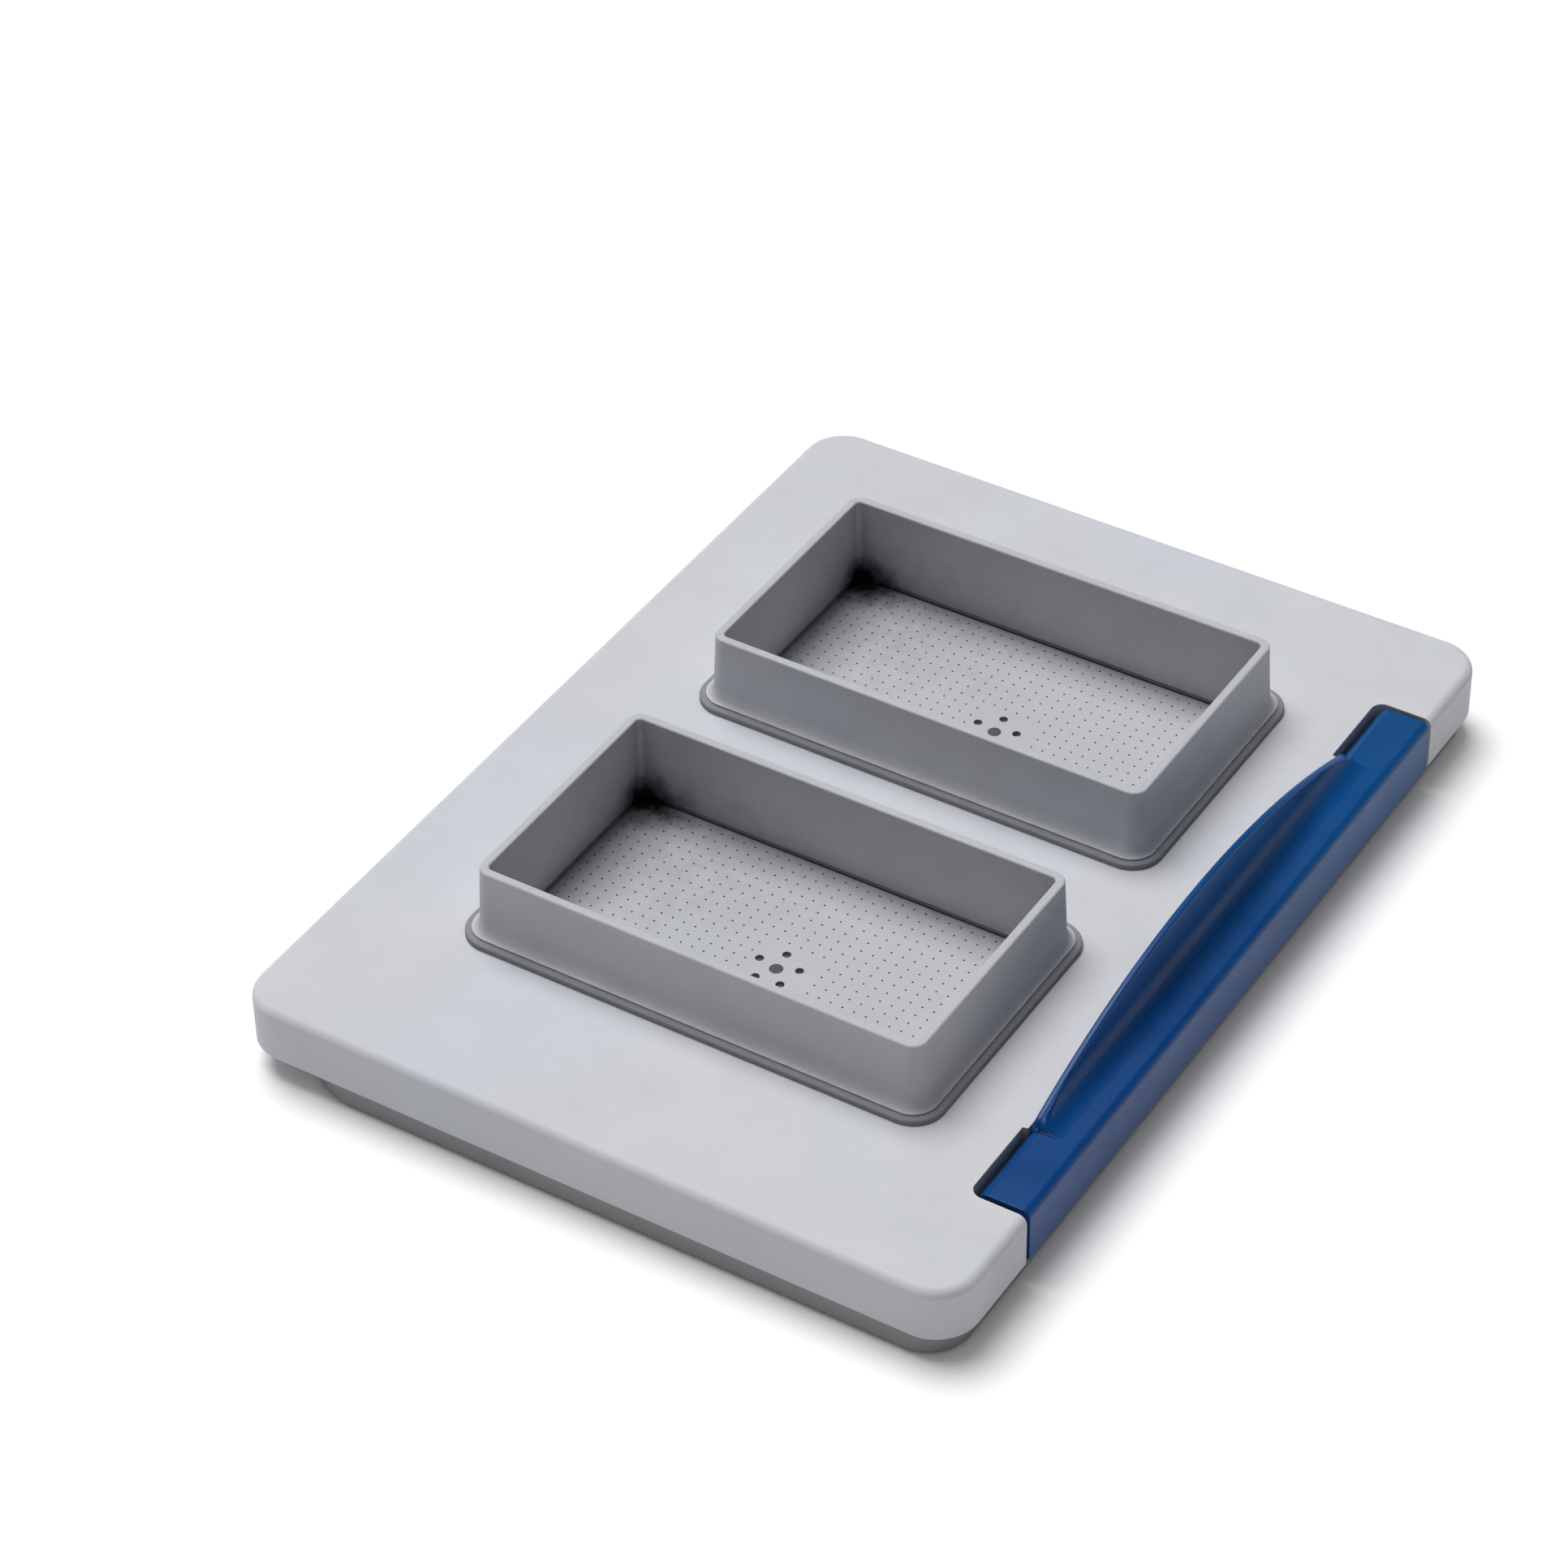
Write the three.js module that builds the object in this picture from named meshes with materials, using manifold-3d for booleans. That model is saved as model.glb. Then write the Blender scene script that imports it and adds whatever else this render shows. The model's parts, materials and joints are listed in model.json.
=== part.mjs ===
// Two-well hinged tray: a lower leaf with drained floors, an upper leaf that
// carries two rectangular wells, and a rocking latch along the right long side.
// Millimetres. +Z up, +X towards the latch, +Y towards the rear well.
// The origin is the middle of the footprint, on the surface the feet stand on.

import * as THREE from 'three';
import { mergeVertices } from 'three/addons/utils/BufferGeometryUtils.js';
import Module from 'manifold-3d';

const wasm = await Module();
wasm.setup();
const { Manifold, Mesh: ManifoldMesh } = wasm;

// ---- driving dimensions -------------------------------------------------

// Upper leaf
const plateWidth = 140;
const plateLength = 192;
const plateTop = 15.4;
const plateSkin = 2.6;
const plateCorner = 8;
const plateEdge = 1.5;
const skirtWall = 2.2;
const skirtBottom = 4.8;

// Wells
const wellInnerX = 83.6;
const wellInnerY = 46.6;
const wellWall = 1.7;
const wellCorner = 1.0;
const smallestCorner = 0.3;
const wellGap = 24;
const wellHeight = 14.6;
const wellDraft = 0.5;
const collarSpread = 3.2;
const collarHeight = 1.1;
const footSpread = 2.0;
const footRise = 3.2;
const gasketThickness = 0.8;

// Lower leaf
const floorTop = 12.1;
const floorThickness = 0.8;
const floorOverlap = 1.4;
const baseBottom = 0.6;
const flangeTop = 4.5;
const flangeInset = 0.6;
const flangeInsetRight = 1.6;
const flangeStep = 0.2;
const hingeSideCorner = 14;
const baseWall = 2.2;
const deckThickness = 2.0;
const deckCorner = 4;
const gridDepth = 3.9;
const gridRing = 2.4;
const gridRib = 1.6;
const gridRibsAcross = 6;
const gridRibsAlong = 2;
const gridLedge = 1.6;
const braceWall = 1.8;

// Floor perforations and drain rosette, one set in each floor
const holePitch = 7.6;
const holeRadius = 1.1;
const rosetteOffset = new THREE.Vector2(2.6, -3.2);
const rosetteRadius = 4.0;
const rosetteCentreHole = 1.1;
const rosetteOuterHole = 0.8;
const rosetteCount = 5;
const rosetteTurn = THREE.MathUtils.degToRad(95);

// Hinge along the left long side
const hingeInset = 5;
const hingeHeight = 7;
const hingePinRadius = 1.0;
const hingeFromMiddle = 62;
const hingeLugLength = 8;
const hingeKnuckleLength = 6;
const hingeKnuckleReach = 2.6;
const hingeArmBelow = 1.8;
const hingeArmAbove = 2.0;
const hingeSweep = 3.8;

// Latch along the right long side
const latchWidth = 9.8;
const latchEndMargin = 24;
const latchBarrel = 2.2;
const latchSkin = 2.8;
const latchWall = 2.4;
const latchEdge = 1.6;
const latchPinRadius = 0.8;
const latchPinInTab = 6.5;
const latchPinInPlate = 1.9;
const latchCorner = 2.2;
const shelfCorner = 0.6;
const notchWall = 1.7;
const tabLength = 16.2;
const lipInset = 0.4;
const lipEndInset = 0.8;
const lipEndStep = 1.2;
const lipThickness = 1.3;
const lipRise = 11.2;
const scoopRadius = 4.6;
const toeDepth = 1.0;
const toeBottom = 5.2;
const toeHeight = 1.5;
const toeEndMargin = 12;
const catchWidth = 4.2;
const catchTop = 9.4;
const catchEndMargin = 8;

// Feet
const padRadius = 5;
const padRecess = 1.1;
const padBossRadius = 7.4;
const padFromSide = 12;
const padFromEnd = 12;

// Clearances
const runningGap = 0.35;
const latchSideGap = 1.05;
const latchEndGap = 0.9;
const lipGap = 0.5;
const turningGap = 0.3;
const seatGap = 0.05;
const pinGap = 0.1;
const leafGap = 0.6;

// Facets
const cornerSteps = 6;
const edgeSteps = 4;
const footSteps = 4;
const pinSides = 20;
const arcSteps = 28;
const drainCentreSides = 10;
const drainOuterSides = 8;
const holeSides = 6;
const weldDistance = 1e-5;
const nearestPoints = 1e-4;
const overshoot = 1;

// ---- derived places -----------------------------------------------------

const halfWidth = plateWidth / 2;
const halfLength = plateLength / 2;
const plateUnder = plateTop - plateSkin;
const wellOuterY = wellInnerY + 2 * wellWall;
const wellCentreY = (wellGap + wellOuterY) / 2;
const wellRim = plateTop + wellHeight;
const wellPlaces = [
  { end: 'front', y: -wellCentreY },
  { end: 'rear', y: wellCentreY },
];
const gasketBottom = floorTop + turningGap;
const gasketTop = gasketBottom + gasketThickness;
const collarBottom = plateTop + seatGap;
const collarTop = collarBottom + collarHeight;
const floorUnder = floorTop - floorThickness;
const deckTop = floorUnder - seatGap;
const hingeX = -halfWidth + hingeInset;
const hingeLugRadius = hingeInset - skirtWall - turningGap;
const latchInnerX = halfWidth - latchWidth;
const latchAxisX = latchInnerX + latchBarrel;
const latchAxisZ = plateTop - latchBarrel;
const latchHalf = halfLength - latchEndMargin;
const notchX = latchInnerX - latchSideGap;
const notchHalf = latchHalf + latchEndGap;
const tabInnerEnd = latchHalf - tabLength;
const lipHalf = tabInnerEnd - lipEndInset;
const lipX = latchInnerX + lipInset;
const shelfX = lipX - lipGap;
const shelfHalf = tabInnerEnd - lipGap;
const leafLeft = hingeX + hingeSweep;
const leafRight = notchX - notchWall - leafGap;
const leafHalfLength = halfLength - skirtWall - leafGap;
const toeX = halfWidth - latchWall - toeDepth;
const catchX = toeX - turningGap;

// ---- materials ----------------------------------------------------------

const plateMaterial = new THREE.MeshStandardMaterial({ color: 0xc9cad1, roughness: 0.55, metalness: 0 });
const wellMaterial = new THREE.MeshStandardMaterial({ color: 0x9a9ca4, roughness: 0.5, metalness: 0 });
const floorMaterial = new THREE.MeshStandardMaterial({ color: 0xc6cad2, roughness: 0.7, metalness: 0 });
const baseMaterial = new THREE.MeshStandardMaterial({ color: 0x8d8d90, roughness: 0.6, metalness: 0 });
const latchMaterial = new THREE.MeshStandardMaterial({ color: 0x0a4585, roughness: 0.3, metalness: 0 });
const sealMaterial = new THREE.MeshStandardMaterial({ color: 0x3b3e44, roughness: 0.85, metalness: 0 });
const pinMaterial = new THREE.MeshStandardMaterial({ color: 0xb8bcc2, roughness: 0.3, metalness: 1 });

// ---- solids -------------------------------------------------------------

// A closed geometry as a solid that can be joined and cut.
function solid(geometry) {
  const bare = geometry.clone();
  bare.deleteAttribute('normal');
  bare.deleteAttribute('uv');
  const merged = mergeVertices(bare, weldDistance);
  return new Manifold(new ManifoldMesh({
    numProp: 3,
    vertProperties: new Float32Array(merged.attributes.position.array),
    triVerts: new Uint32Array(merged.index.array),
  }));
}

// A finished solid as a named mesh of the part.
function piece(name, body, material) {
  const mesh = body.getMesh();
  const geometry = new THREE.BufferGeometry();
  geometry.setAttribute('position', new THREE.BufferAttribute(mesh.vertProperties, 3));
  geometry.setIndex(new THREE.BufferAttribute(mesh.triVerts, 1));
  geometry.computeVertexNormals();
  const object = new THREE.Mesh(geometry, material);
  object.name = name;
  part.add(object);
  return object;
}

// A rectangle with its own radius at the left pair and the right pair of corners.
function rectangle(x0, x1, y0, y1, leftCorner, rightCorner = leftCorner) {
  const shape = new THREE.Shape();
  const quarter = Math.PI / 2;
  shape.moveTo(x0 + leftCorner, y0);
  shape.lineTo(x1 - rightCorner, y0);
  shape.absarc(x1 - rightCorner, y0 + rightCorner, rightCorner, -quarter, 0, false);
  shape.lineTo(x1, y1 - rightCorner);
  shape.absarc(x1 - rightCorner, y1 - rightCorner, rightCorner, 0, quarter, false);
  shape.lineTo(x0 + leftCorner, y1);
  shape.absarc(x0 + leftCorner, y1 - leftCorner, leftCorner, quarter, 2 * quarter, false);
  shape.lineTo(x0, y0 + leftCorner);
  shape.absarc(x0 + leftCorner, y0 + leftCorner, leftCorner, 2 * quarter, 3 * quarter, false);
  return shape;
}

// A shape raised from z0 to z1.
function slab(shape, z0, z1) {
  const geometry = new THREE.ExtrudeGeometry(shape, {
    depth: z1 - z0,
    bevelEnabled: false,
    curveSegments: cornerSteps,
  });
  geometry.translate(0, 0, z0);
  return solid(geometry);
}

// The same with its upper edge rounded; the lower edge stays sharp.
function roundedSlab(shape, z0, z1, edge) {
  const geometry = new THREE.ExtrudeGeometry(shape, {
    depth: z1 - z0 - edge + overshoot,
    bevelEnabled: true,
    bevelThickness: edge,
    bevelSize: edge,
    bevelOffset: -edge,
    bevelSegments: edgeSteps,
    curveSegments: cornerSteps,
  });
  geometry.translate(0, 0, z0 - overshoot);
  const reach = plateLength;
  return solid(geometry).subtract(block(-reach, reach, -reach, reach, z0 - 2 * edge - overshoot, z0));
}

// A solid through a stack of convex outlines that have the same number of points.
function loft(sections) {
  const rings = sections.map((section) => {
    const points = section.shape.extractPoints(cornerSteps).shape;
    return points.filter((point, i) => point.distanceTo(points.at(i - 1)) > nearestPoints);
  });
  const count = rings[0].length;
  const corners = [];
  rings.forEach((ring, level) => {
    const points = THREE.ShapeUtils.isClockWise(ring) ? [...ring].reverse() : ring;
    points.forEach((point) => corners.push(point.x, point.y, sections[level].z));
  });
  const faces = [];
  for (let level = 0; level < rings.length - 1; level += 1) {
    for (let i = 0; i < count; i += 1) {
      const a = level * count + i;
      const b = level * count + ((i + 1) % count);
      faces.push(a, b, b + count, a, b + count, a + count);
    }
  }
  const last = (rings.length - 1) * count;
  for (let i = 1; i < count - 1; i += 1) {
    faces.push(0, i + 1, i);
    faces.push(last, last + i, last + i + 1);
  }
  const geometry = new THREE.BufferGeometry();
  geometry.setAttribute('position', new THREE.Float32BufferAttribute(corners, 3));
  geometry.setIndex(faces);
  return solid(geometry);
}

// A plain block between two corners.
function block(x0, x1, y0, y1, z0, z1) {
  const geometry = new THREE.BoxGeometry(x1 - x0, y1 - y0, z1 - z0);
  geometry.translate((x0 + x1) / 2, (y0 + y1) / 2, (z0 + z1) / 2);
  return solid(geometry);
}

// A round upright post.
function post(radius, x, y, z0, z1, sides = pinSides) {
  const geometry = new THREE.CylinderGeometry(radius, radius, z1 - z0, sides);
  geometry.rotateX(Math.PI / 2);
  geometry.translate(x, y, (z0 + z1) / 2);
  return solid(geometry);
}

// A round bar along Y.
function bar(radius, x, z, y0, y1, sides = pinSides) {
  const geometry = new THREE.CylinderGeometry(radius, radius, y1 - y0, sides);
  geometry.translate(x, (y0 + y1) / 2, z);
  return solid(geometry);
}

// A profile drawn in X and Z, run along Y from y0 to y1.
function profileAlongY(shape, y0, y1) {
  const geometry = new THREE.ExtrudeGeometry(shape, {
    depth: y1 - y0,
    bevelEnabled: false,
    curveSegments: cornerSteps,
  });
  geometry.rotateX(Math.PI / 2);
  geometry.translate(0, y1, 0);
  return solid(geometry);
}

// A profile drawn in Y and Z, run along X from x0 to x1.
function profileAlongX(shape, x0, x1) {
  const geometry = new THREE.ExtrudeGeometry(shape, {
    depth: x1 - x0,
    bevelEnabled: false,
    curveSegments: arcSteps,
  });
  geometry.rotateX(Math.PI / 2);
  geometry.rotateZ(Math.PI / 2);
  geometry.translate(x0, 0, 0);
  return solid(geometry);
}

function union(bodies) {
  return bodies.reduce((sum, body) => sum.add(body));
}

// ---- outlines -----------------------------------------------------------

function plateOutline(inset) {
  return rectangle(
    -halfWidth + inset, halfWidth - inset,
    -halfLength + inset, halfLength - inset,
    plateCorner - inset,
  );
}

// The bay in the right long side that the latch lies in, grown by a margin.
// It is deeper beside the tabs; between them a shelf comes close to the lip.
function latchBay(margin, z0, z1) {
  const whole = rectangle(
    notchX - margin, halfWidth + 2 * latchWidth,
    -notchHalf - margin, notchHalf + margin,
    latchCorner + margin,
  );
  const shelf = rectangle(
    notchX - latchWidth, shelfX - margin,
    -shelfHalf + margin, shelfHalf - margin,
    Math.max(shelfCorner - margin, smallestCorner),
  );
  return slab(whole, z0, z1).subtract(slab(shelf, z0 - overshoot, z1 + overshoot));
}

// A well's outline about its own centre, grown from the inner face.
function wellOutline(place, margin) {
  return rectangle(
    -wellInnerX / 2 - margin, wellInnerX / 2 + margin,
    place.y - wellInnerY / 2 - margin, place.y + wellInnerY / 2 + margin,
    Math.max(wellCorner + margin, smallestCorner),
  );
}

const part = new THREE.Group();

// ---- upper leaf ---------------------------------------------------------

const hingePlaces = [
  { end: 'front', y: -hingeFromMiddle },
  { end: 'rear', y: hingeFromMiddle },
];
const pinReach = hingeLugLength / 2 + runningGap + hingeKnuckleLength;

// One knuckle that hangs from the plate's skin, round at its lower end.
function knuckle(y0, y1) {
  const hanging = block(
    -halfWidth + skirtWall / 2, hingeX + hingeKnuckleReach,
    y0, y1, hingeHeight, plateUnder + plateSkin / 2,
  );
  const round = bar(hingeLugRadius, hingeX, hingeHeight, y0, y1);
  return hanging.add(round);
}

function makeTopPlate() {
  const outside = roundedSlab(plateOutline(0), skirtBottom, plateTop, plateEdge);
  const inside = slab(plateOutline(skirtWall), skirtBottom - overshoot, plateUnder);
  const bayWalls = latchBay(notchWall, skirtBottom - overshoot, plateUnder);
  let plate = outside.subtract(inside.subtract(bayWalls));
  plate = plate.subtract(latchBay(0, skirtBottom - overshoot, plateTop + overshoot));
  for (const place of wellPlaces) {
    const opening = wellOutline(place, wellWall + seatGap);
    plate = plate.subtract(slab(opening, plateUnder - overshoot, plateTop + overshoot));
  }
  for (const place of hingePlaces) {
    const near = hingeLugLength / 2 + runningGap;
    plate = plate.add(knuckle(place.y - pinReach, place.y - near));
    plate = plate.add(knuckle(place.y + near, place.y + pinReach));
    const hole = hingePinRadius + pinGap;
    plate = plate.subtract(bar(hole, hingeX, hingeHeight, place.y - pinReach - overshoot,
      place.y + pinReach + overshoot));
  }
  const pinHoleEnd = notchHalf + latchPinInPlate + pinGap;
  plate = plate.subtract(bar(latchPinRadius + pinGap, latchAxisX, latchAxisZ, -pinHoleEnd, pinHoleEnd));
  return plate;
}

// A well: four walls, open at the top and bottom, a little thicker towards
// the plate, with a hollow-curved foot that bears on its collar.
function makeWellFrame(place) {
  const seat = collarTop + seatGap;
  const neck = slab(wellOutline(place, wellWall), gasketTop + seatGap, seat + footRise);
  const sections = [];
  for (let i = 0; i <= footSteps; i += 1) {
    const turn = (i / footSteps) * (Math.PI / 2);
    const spread = wellDraft + (footSpread - wellDraft) * (1 - Math.sin(turn));
    const z = seat + footRise * (1 - Math.cos(turn));
    sections.push({ shape: wellOutline(place, wellWall + spread), z });
  }
  sections.push({ shape: wellOutline(place, wellWall), z: wellRim });
  const hollow = slab(wellOutline(place, 0), gasketTop - overshoot, wellRim + overshoot);
  return neck.add(loft(sections)).subtract(hollow);
}

// The ring that seals a well's foot on the plate.
function makeWellCollar(place) {
  const outer = slab(wellOutline(place, wellWall + collarSpread), collarBottom, collarTop);
  const inner = wellOutline(place, wellWall + seatGap);
  return outer.subtract(slab(inner, collarBottom - overshoot, collarTop + overshoot));
}

function makeWellGasket(place) {
  const outer = slab(wellOutline(place, wellWall - seatGap), gasketBottom, gasketTop);
  return outer.subtract(slab(wellOutline(place, 0), gasketBottom - overshoot, gasketTop + overshoot));
}

piece('top_plate', makeTopPlate(), plateMaterial);
for (const place of wellPlaces) {
  piece(`well_frame_${place.end}`, makeWellFrame(place), wellMaterial);
  piece(`well_collar_${place.end}`, makeWellCollar(place), sealMaterial);
  piece(`well_gasket_${place.end}`, makeWellGasket(place), sealMaterial);
}

// ---- lower leaf ---------------------------------------------------------

const flangeLeft = leafLeft - flangeStep;
const flangeRight = halfWidth - flangeInsetRight;
const padRight = halfWidth - flangeInset - padFromSide;
const padPlaces = [
  { name: 'front_left', x: flangeLeft + padFromSide, y: -halfLength + flangeInset + padFromEnd },
  { name: 'front_right', x: padRight, y: -halfLength + flangeInset + padFromEnd },
  { name: 'rear_left', x: flangeLeft + padFromSide, y: halfLength - flangeInset - padFromEnd },
  { name: 'rear_right', x: padRight, y: halfLength - flangeInset - padFromEnd },
];

function leafOutline(inset) {
  return rectangle(
    leafLeft + inset, leafRight - inset,
    -leafHalfLength + inset, leafHalfLength - inset,
    hingeSideCorner - inset, deckCorner,
  );
}

function makeBaseTray() {
  const flange = slab(
    rectangle(flangeLeft, flangeRight, -halfLength + flangeInset, halfLength - flangeInset,
      hingeSideCorner, plateCorner),
    baseBottom, flangeTop,
  );
  const plinth = slab(leafOutline(0), flangeTop - overshoot, deckTop);
  let tray = flange.add(plinth);

  // The underside is hollow, with a wall round each window and cross braces.
  let hollow = slab(leafOutline(baseWall), baseBottom - overshoot, deckTop - deckThickness);
  for (const place of wellPlaces) {
    hollow = hollow.subtract(slab(wellOutline(place, floorOverlap + braceWall), 0, deckTop));
    hollow = hollow.subtract(block(-halfWidth, halfWidth, place.y - braceWall / 2,
      place.y + braceWall / 2, 0, deckTop));
  }
  hollow = hollow.subtract(block(-braceWall / 2, braceWall / 2, -halfLength, halfLength, 0, deckTop));
  for (const pad of padPlaces) {
    hollow = hollow.subtract(post(padBossRadius, pad.x, pad.y, 0, deckTop));
  }
  tray = tray.subtract(hollow);

  // Each window is stepped, so that its grid rests on a ledge.
  for (const place of wellPlaces) {
    const upper = wellOutline(place, floorOverlap);
    const lower = wellOutline(place, floorOverlap - gridLedge);
    tray = tray.subtract(slab(upper, deckTop - gridDepth - seatGap, deckTop + overshoot));
    tray = tray.subtract(slab(lower, baseBottom - overshoot, deckTop));
  }

  // The rail that the latch's toe closes against.
  const railHalf = latchHalf - catchEndMargin;
  tray = tray.add(block(catchX - catchWidth, catchX, -railHalf, railHalf,
    flangeTop - overshoot, catchTop));

  // Hinge lugs reach out to the left under the upper leaf.
  for (const place of hingePlaces) {
    const y0 = place.y - hingeLugLength / 2;
    const y1 = place.y + hingeLugLength / 2;
    tray = tray.add(block(hingeX, leafLeft + baseWall / 2, y0, y1,
      hingeHeight - hingeArmBelow, hingeHeight + hingeArmAbove));
    tray = tray.add(bar(hingeLugRadius, hingeX, hingeHeight, y0, y1));
    tray = tray.subtract(bar(hingePinRadius + pinGap, hingeX, hingeHeight, y0 - overshoot, y1 + overshoot));
  }

  // Shallow pockets for the feet.
  for (const pad of padPlaces) {
    tray = tray.subtract(post(padRadius + pinGap, pad.x, pad.y, baseBottom - overshoot,
      baseBottom + padRecess));
  }
  return tray;
}

// A ribbed grid that drops into a window and holds the floor flat.
function makeSupportGrid(place) {
  const top = deckTop;
  const bottom = deckTop - gridDepth;
  const outside = slab(wellOutline(place, floorOverlap - pinGap), bottom, top);
  const inside = slab(wellOutline(place, floorOverlap - gridRing), bottom - overshoot, top + overshoot);
  let cells = inside;
  const reachX = wellInnerX / 2;
  const reachY = wellInnerY / 2;
  for (let i = 1; i <= gridRibsAcross; i += 1) {
    const x = -reachX + (2 * reachX * i) / (gridRibsAcross + 1);
    cells = cells.subtract(block(x - gridRib / 2, x + gridRib / 2, place.y - reachY,
      place.y + reachY, bottom - 2 * overshoot, top + 2 * overshoot));
  }
  for (let i = 1; i <= gridRibsAlong; i += 1) {
    const y = place.y - reachY + (2 * reachY * i) / (gridRibsAlong + 1);
    cells = cells.subtract(block(-reachX, reachX, y - gridRib / 2, y + gridRib / 2,
      bottom - 2 * overshoot, top + 2 * overshoot));
  }
  return outside.subtract(cells);
}

// A perforated floor sheet with its drain rosette.
function makeFloorSheet(place) {
  const sheet = slab(wellOutline(place, floorOverlap - pinGap), floorUnder, floorTop);
  const z0 = floorUnder - overshoot;
  const z1 = floorTop + overshoot;
  const drainX = rosetteOffset.x;
  const drainY = place.y + rosetteOffset.y;
  const holes = [post(rosetteCentreHole, drainX, drainY, z0, z1, drainCentreSides)];
  for (let i = 0; i < rosetteCount; i += 1) {
    const angle = rosetteTurn + (i * 2 * Math.PI) / rosetteCount;
    const x = drainX + rosetteRadius * Math.cos(angle);
    const y = drainY + rosetteRadius * Math.sin(angle);
    holes.push(post(rosetteOuterHole, x, y, z0, z1, drainOuterSides));
  }
  const keepOut = rosetteRadius + rosetteOuterHole + 2 * holeRadius;
  const across = Math.floor((wellInnerX / 2 - holePitch / 2) / holePitch);
  const along = Math.floor((wellInnerY / 2 - holePitch / 2) / holePitch);
  for (let i = -across; i <= across; i += 1) {
    for (let j = -along; j <= along; j += 1) {
      const x = i * holePitch;
      const y = place.y + j * holePitch;
      if (Math.hypot(x - drainX, y - drainY) > keepOut) {
        holes.push(post(holeRadius, x, y, z0, z1, holeSides));
      }
    }
  }
  return sheet.subtract(union(holes));
}

piece('base_tray', makeBaseTray(), baseMaterial);
for (const place of wellPlaces) {
  piece(`support_grid_${place.end}`, makeSupportGrid(place), baseMaterial);
  piece(`floor_sheet_${place.end}`, makeFloorSheet(place), floorMaterial);
}
for (const place of hingePlaces) {
  piece(`hinge_pin_${place.end}`, bar(hingePinRadius, hingeX, hingeHeight, place.y - pinReach,
    place.y + pinReach), pinMaterial);
}
for (const pad of padPlaces) {
  piece(`foot_${pad.name}`, post(padRadius, pad.x, pad.y, 0, baseBottom + padRecess - seatGap),
    sealMaterial);
}

// ---- latch --------------------------------------------------------------

// The bar's section: a skin from the pivot out to the side, then a wall down.
function latchSection() {
  const shape = new THREE.Shape();
  shape.moveTo(latchAxisX, plateTop);
  shape.lineTo(latchAxisX, plateTop - latchSkin);
  shape.lineTo(halfWidth - latchWall, plateTop - latchSkin);
  shape.lineTo(halfWidth - latchWall, skirtBottom + seatGap);
  shape.lineTo(halfWidth, skirtBottom + seatGap);
  shape.lineTo(halfWidth, plateTop - latchEdge);
  shape.absarc(halfWidth - latchEdge, plateTop - latchEdge, latchEdge, 0, Math.PI / 2, false);
  return shape;
}

// The toe's section, sloped on its lower side so that it rides over the rail.
function toeSection() {
  const shape = new THREE.Shape();
  const root = halfWidth - latchWall / 2;
  shape.moveTo(root, toeBottom);
  shape.lineTo(root, toeBottom + toeHeight);
  shape.lineTo(toeX, toeBottom + toeHeight);
  shape.lineTo(toeX, toeBottom + toeHeight / 2);
  shape.lineTo(halfWidth - latchWall, toeBottom);
  return shape;
}

// The finger lip's outline in Y and Z: a shallow arc between two short steps.
function lipOutline() {
  const root = latchAxisZ;
  const arcRise = lipRise - lipEndStep;
  const radius = (lipHalf ** 2 + arcRise ** 2) / (2 * arcRise);
  const centreZ = plateTop + lipRise - radius;
  const half = Math.asin(lipHalf / radius);
  const shape = new THREE.Shape();
  shape.moveTo(-lipHalf, root);
  shape.lineTo(lipHalf, root);
  shape.lineTo(lipHalf, plateTop + lipEndStep);
  shape.absarc(0, centreZ, radius, Math.PI / 2 - half, Math.PI / 2 + half, false);
  return shape;
}

// The scoop between the lip and the skin: a corner piece with a hollow face.
function scoopSection() {
  const root = lipX + lipThickness / 2;
  const face = lipX + lipThickness;
  const shape = new THREE.Shape();
  shape.moveTo(root, latchAxisZ);
  shape.lineTo(face + scoopRadius, latchAxisZ);
  shape.lineTo(face + scoopRadius, plateTop);
  shape.absarc(face + scoopRadius, plateTop + scoopRadius, scoopRadius, 1.5 * Math.PI, Math.PI, true);
  shape.lineTo(root, plateTop + scoopRadius);
  return shape;
}

function makeLatchBar() {
  let body = profileAlongY(latchSection(), -latchHalf, latchHalf);
  body = body.add(bar(latchBarrel, latchAxisX, latchAxisZ, -latchHalf, latchHalf, 2 * pinSides));
  const plan = rectangle(latchInnerX, halfWidth + 2 * latchWidth, -latchHalf, latchHalf,
    latchCorner - latchSideGap);
  body = body.intersect(slab(plan, 0, wellRim));
  body = body.subtract(block(latchInnerX - overshoot, lipX, -tabInnerEnd, tabInnerEnd, 0, wellRim));
  const toeHalf = latchHalf - toeEndMargin;
  body = body.add(profileAlongY(toeSection(), -toeHalf, toeHalf));
  body = body.add(profileAlongX(lipOutline(), lipX, lipX + lipThickness));
  const scoop = profileAlongY(scoopSection(), -lipHalf, lipHalf);
  body = body.add(scoop.intersect(profileAlongX(lipOutline(), lipX, halfWidth)));
  const boreRadius = latchPinRadius + pinGap;
  for (const side of [-1, 1]) {
    const inner = side * (latchHalf - latchPinInTab - pinGap);
    const outer = side * (latchHalf + overshoot);
    body = body.subtract(bar(boreRadius, latchAxisX, latchAxisZ, Math.min(inner, outer),
      Math.max(inner, outer)));
  }
  return body;
}

piece('latch_bar', makeLatchBar(), latchMaterial);
for (const place of [{ end: 'front', side: -1 }, { end: 'rear', side: 1 }]) {
  const inner = place.side * (latchHalf - latchPinInTab);
  const outer = place.side * (notchHalf + latchPinInPlate);
  piece(`latch_pin_${place.end}`, bar(latchPinRadius, latchAxisX, latchAxisZ,
    Math.min(inner, outer), Math.max(inner, outer)), pinMaterial);
}

export default part;
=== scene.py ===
import json
import math

import bmesh
import bpy
from mathutils import Matrix, Vector

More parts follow.
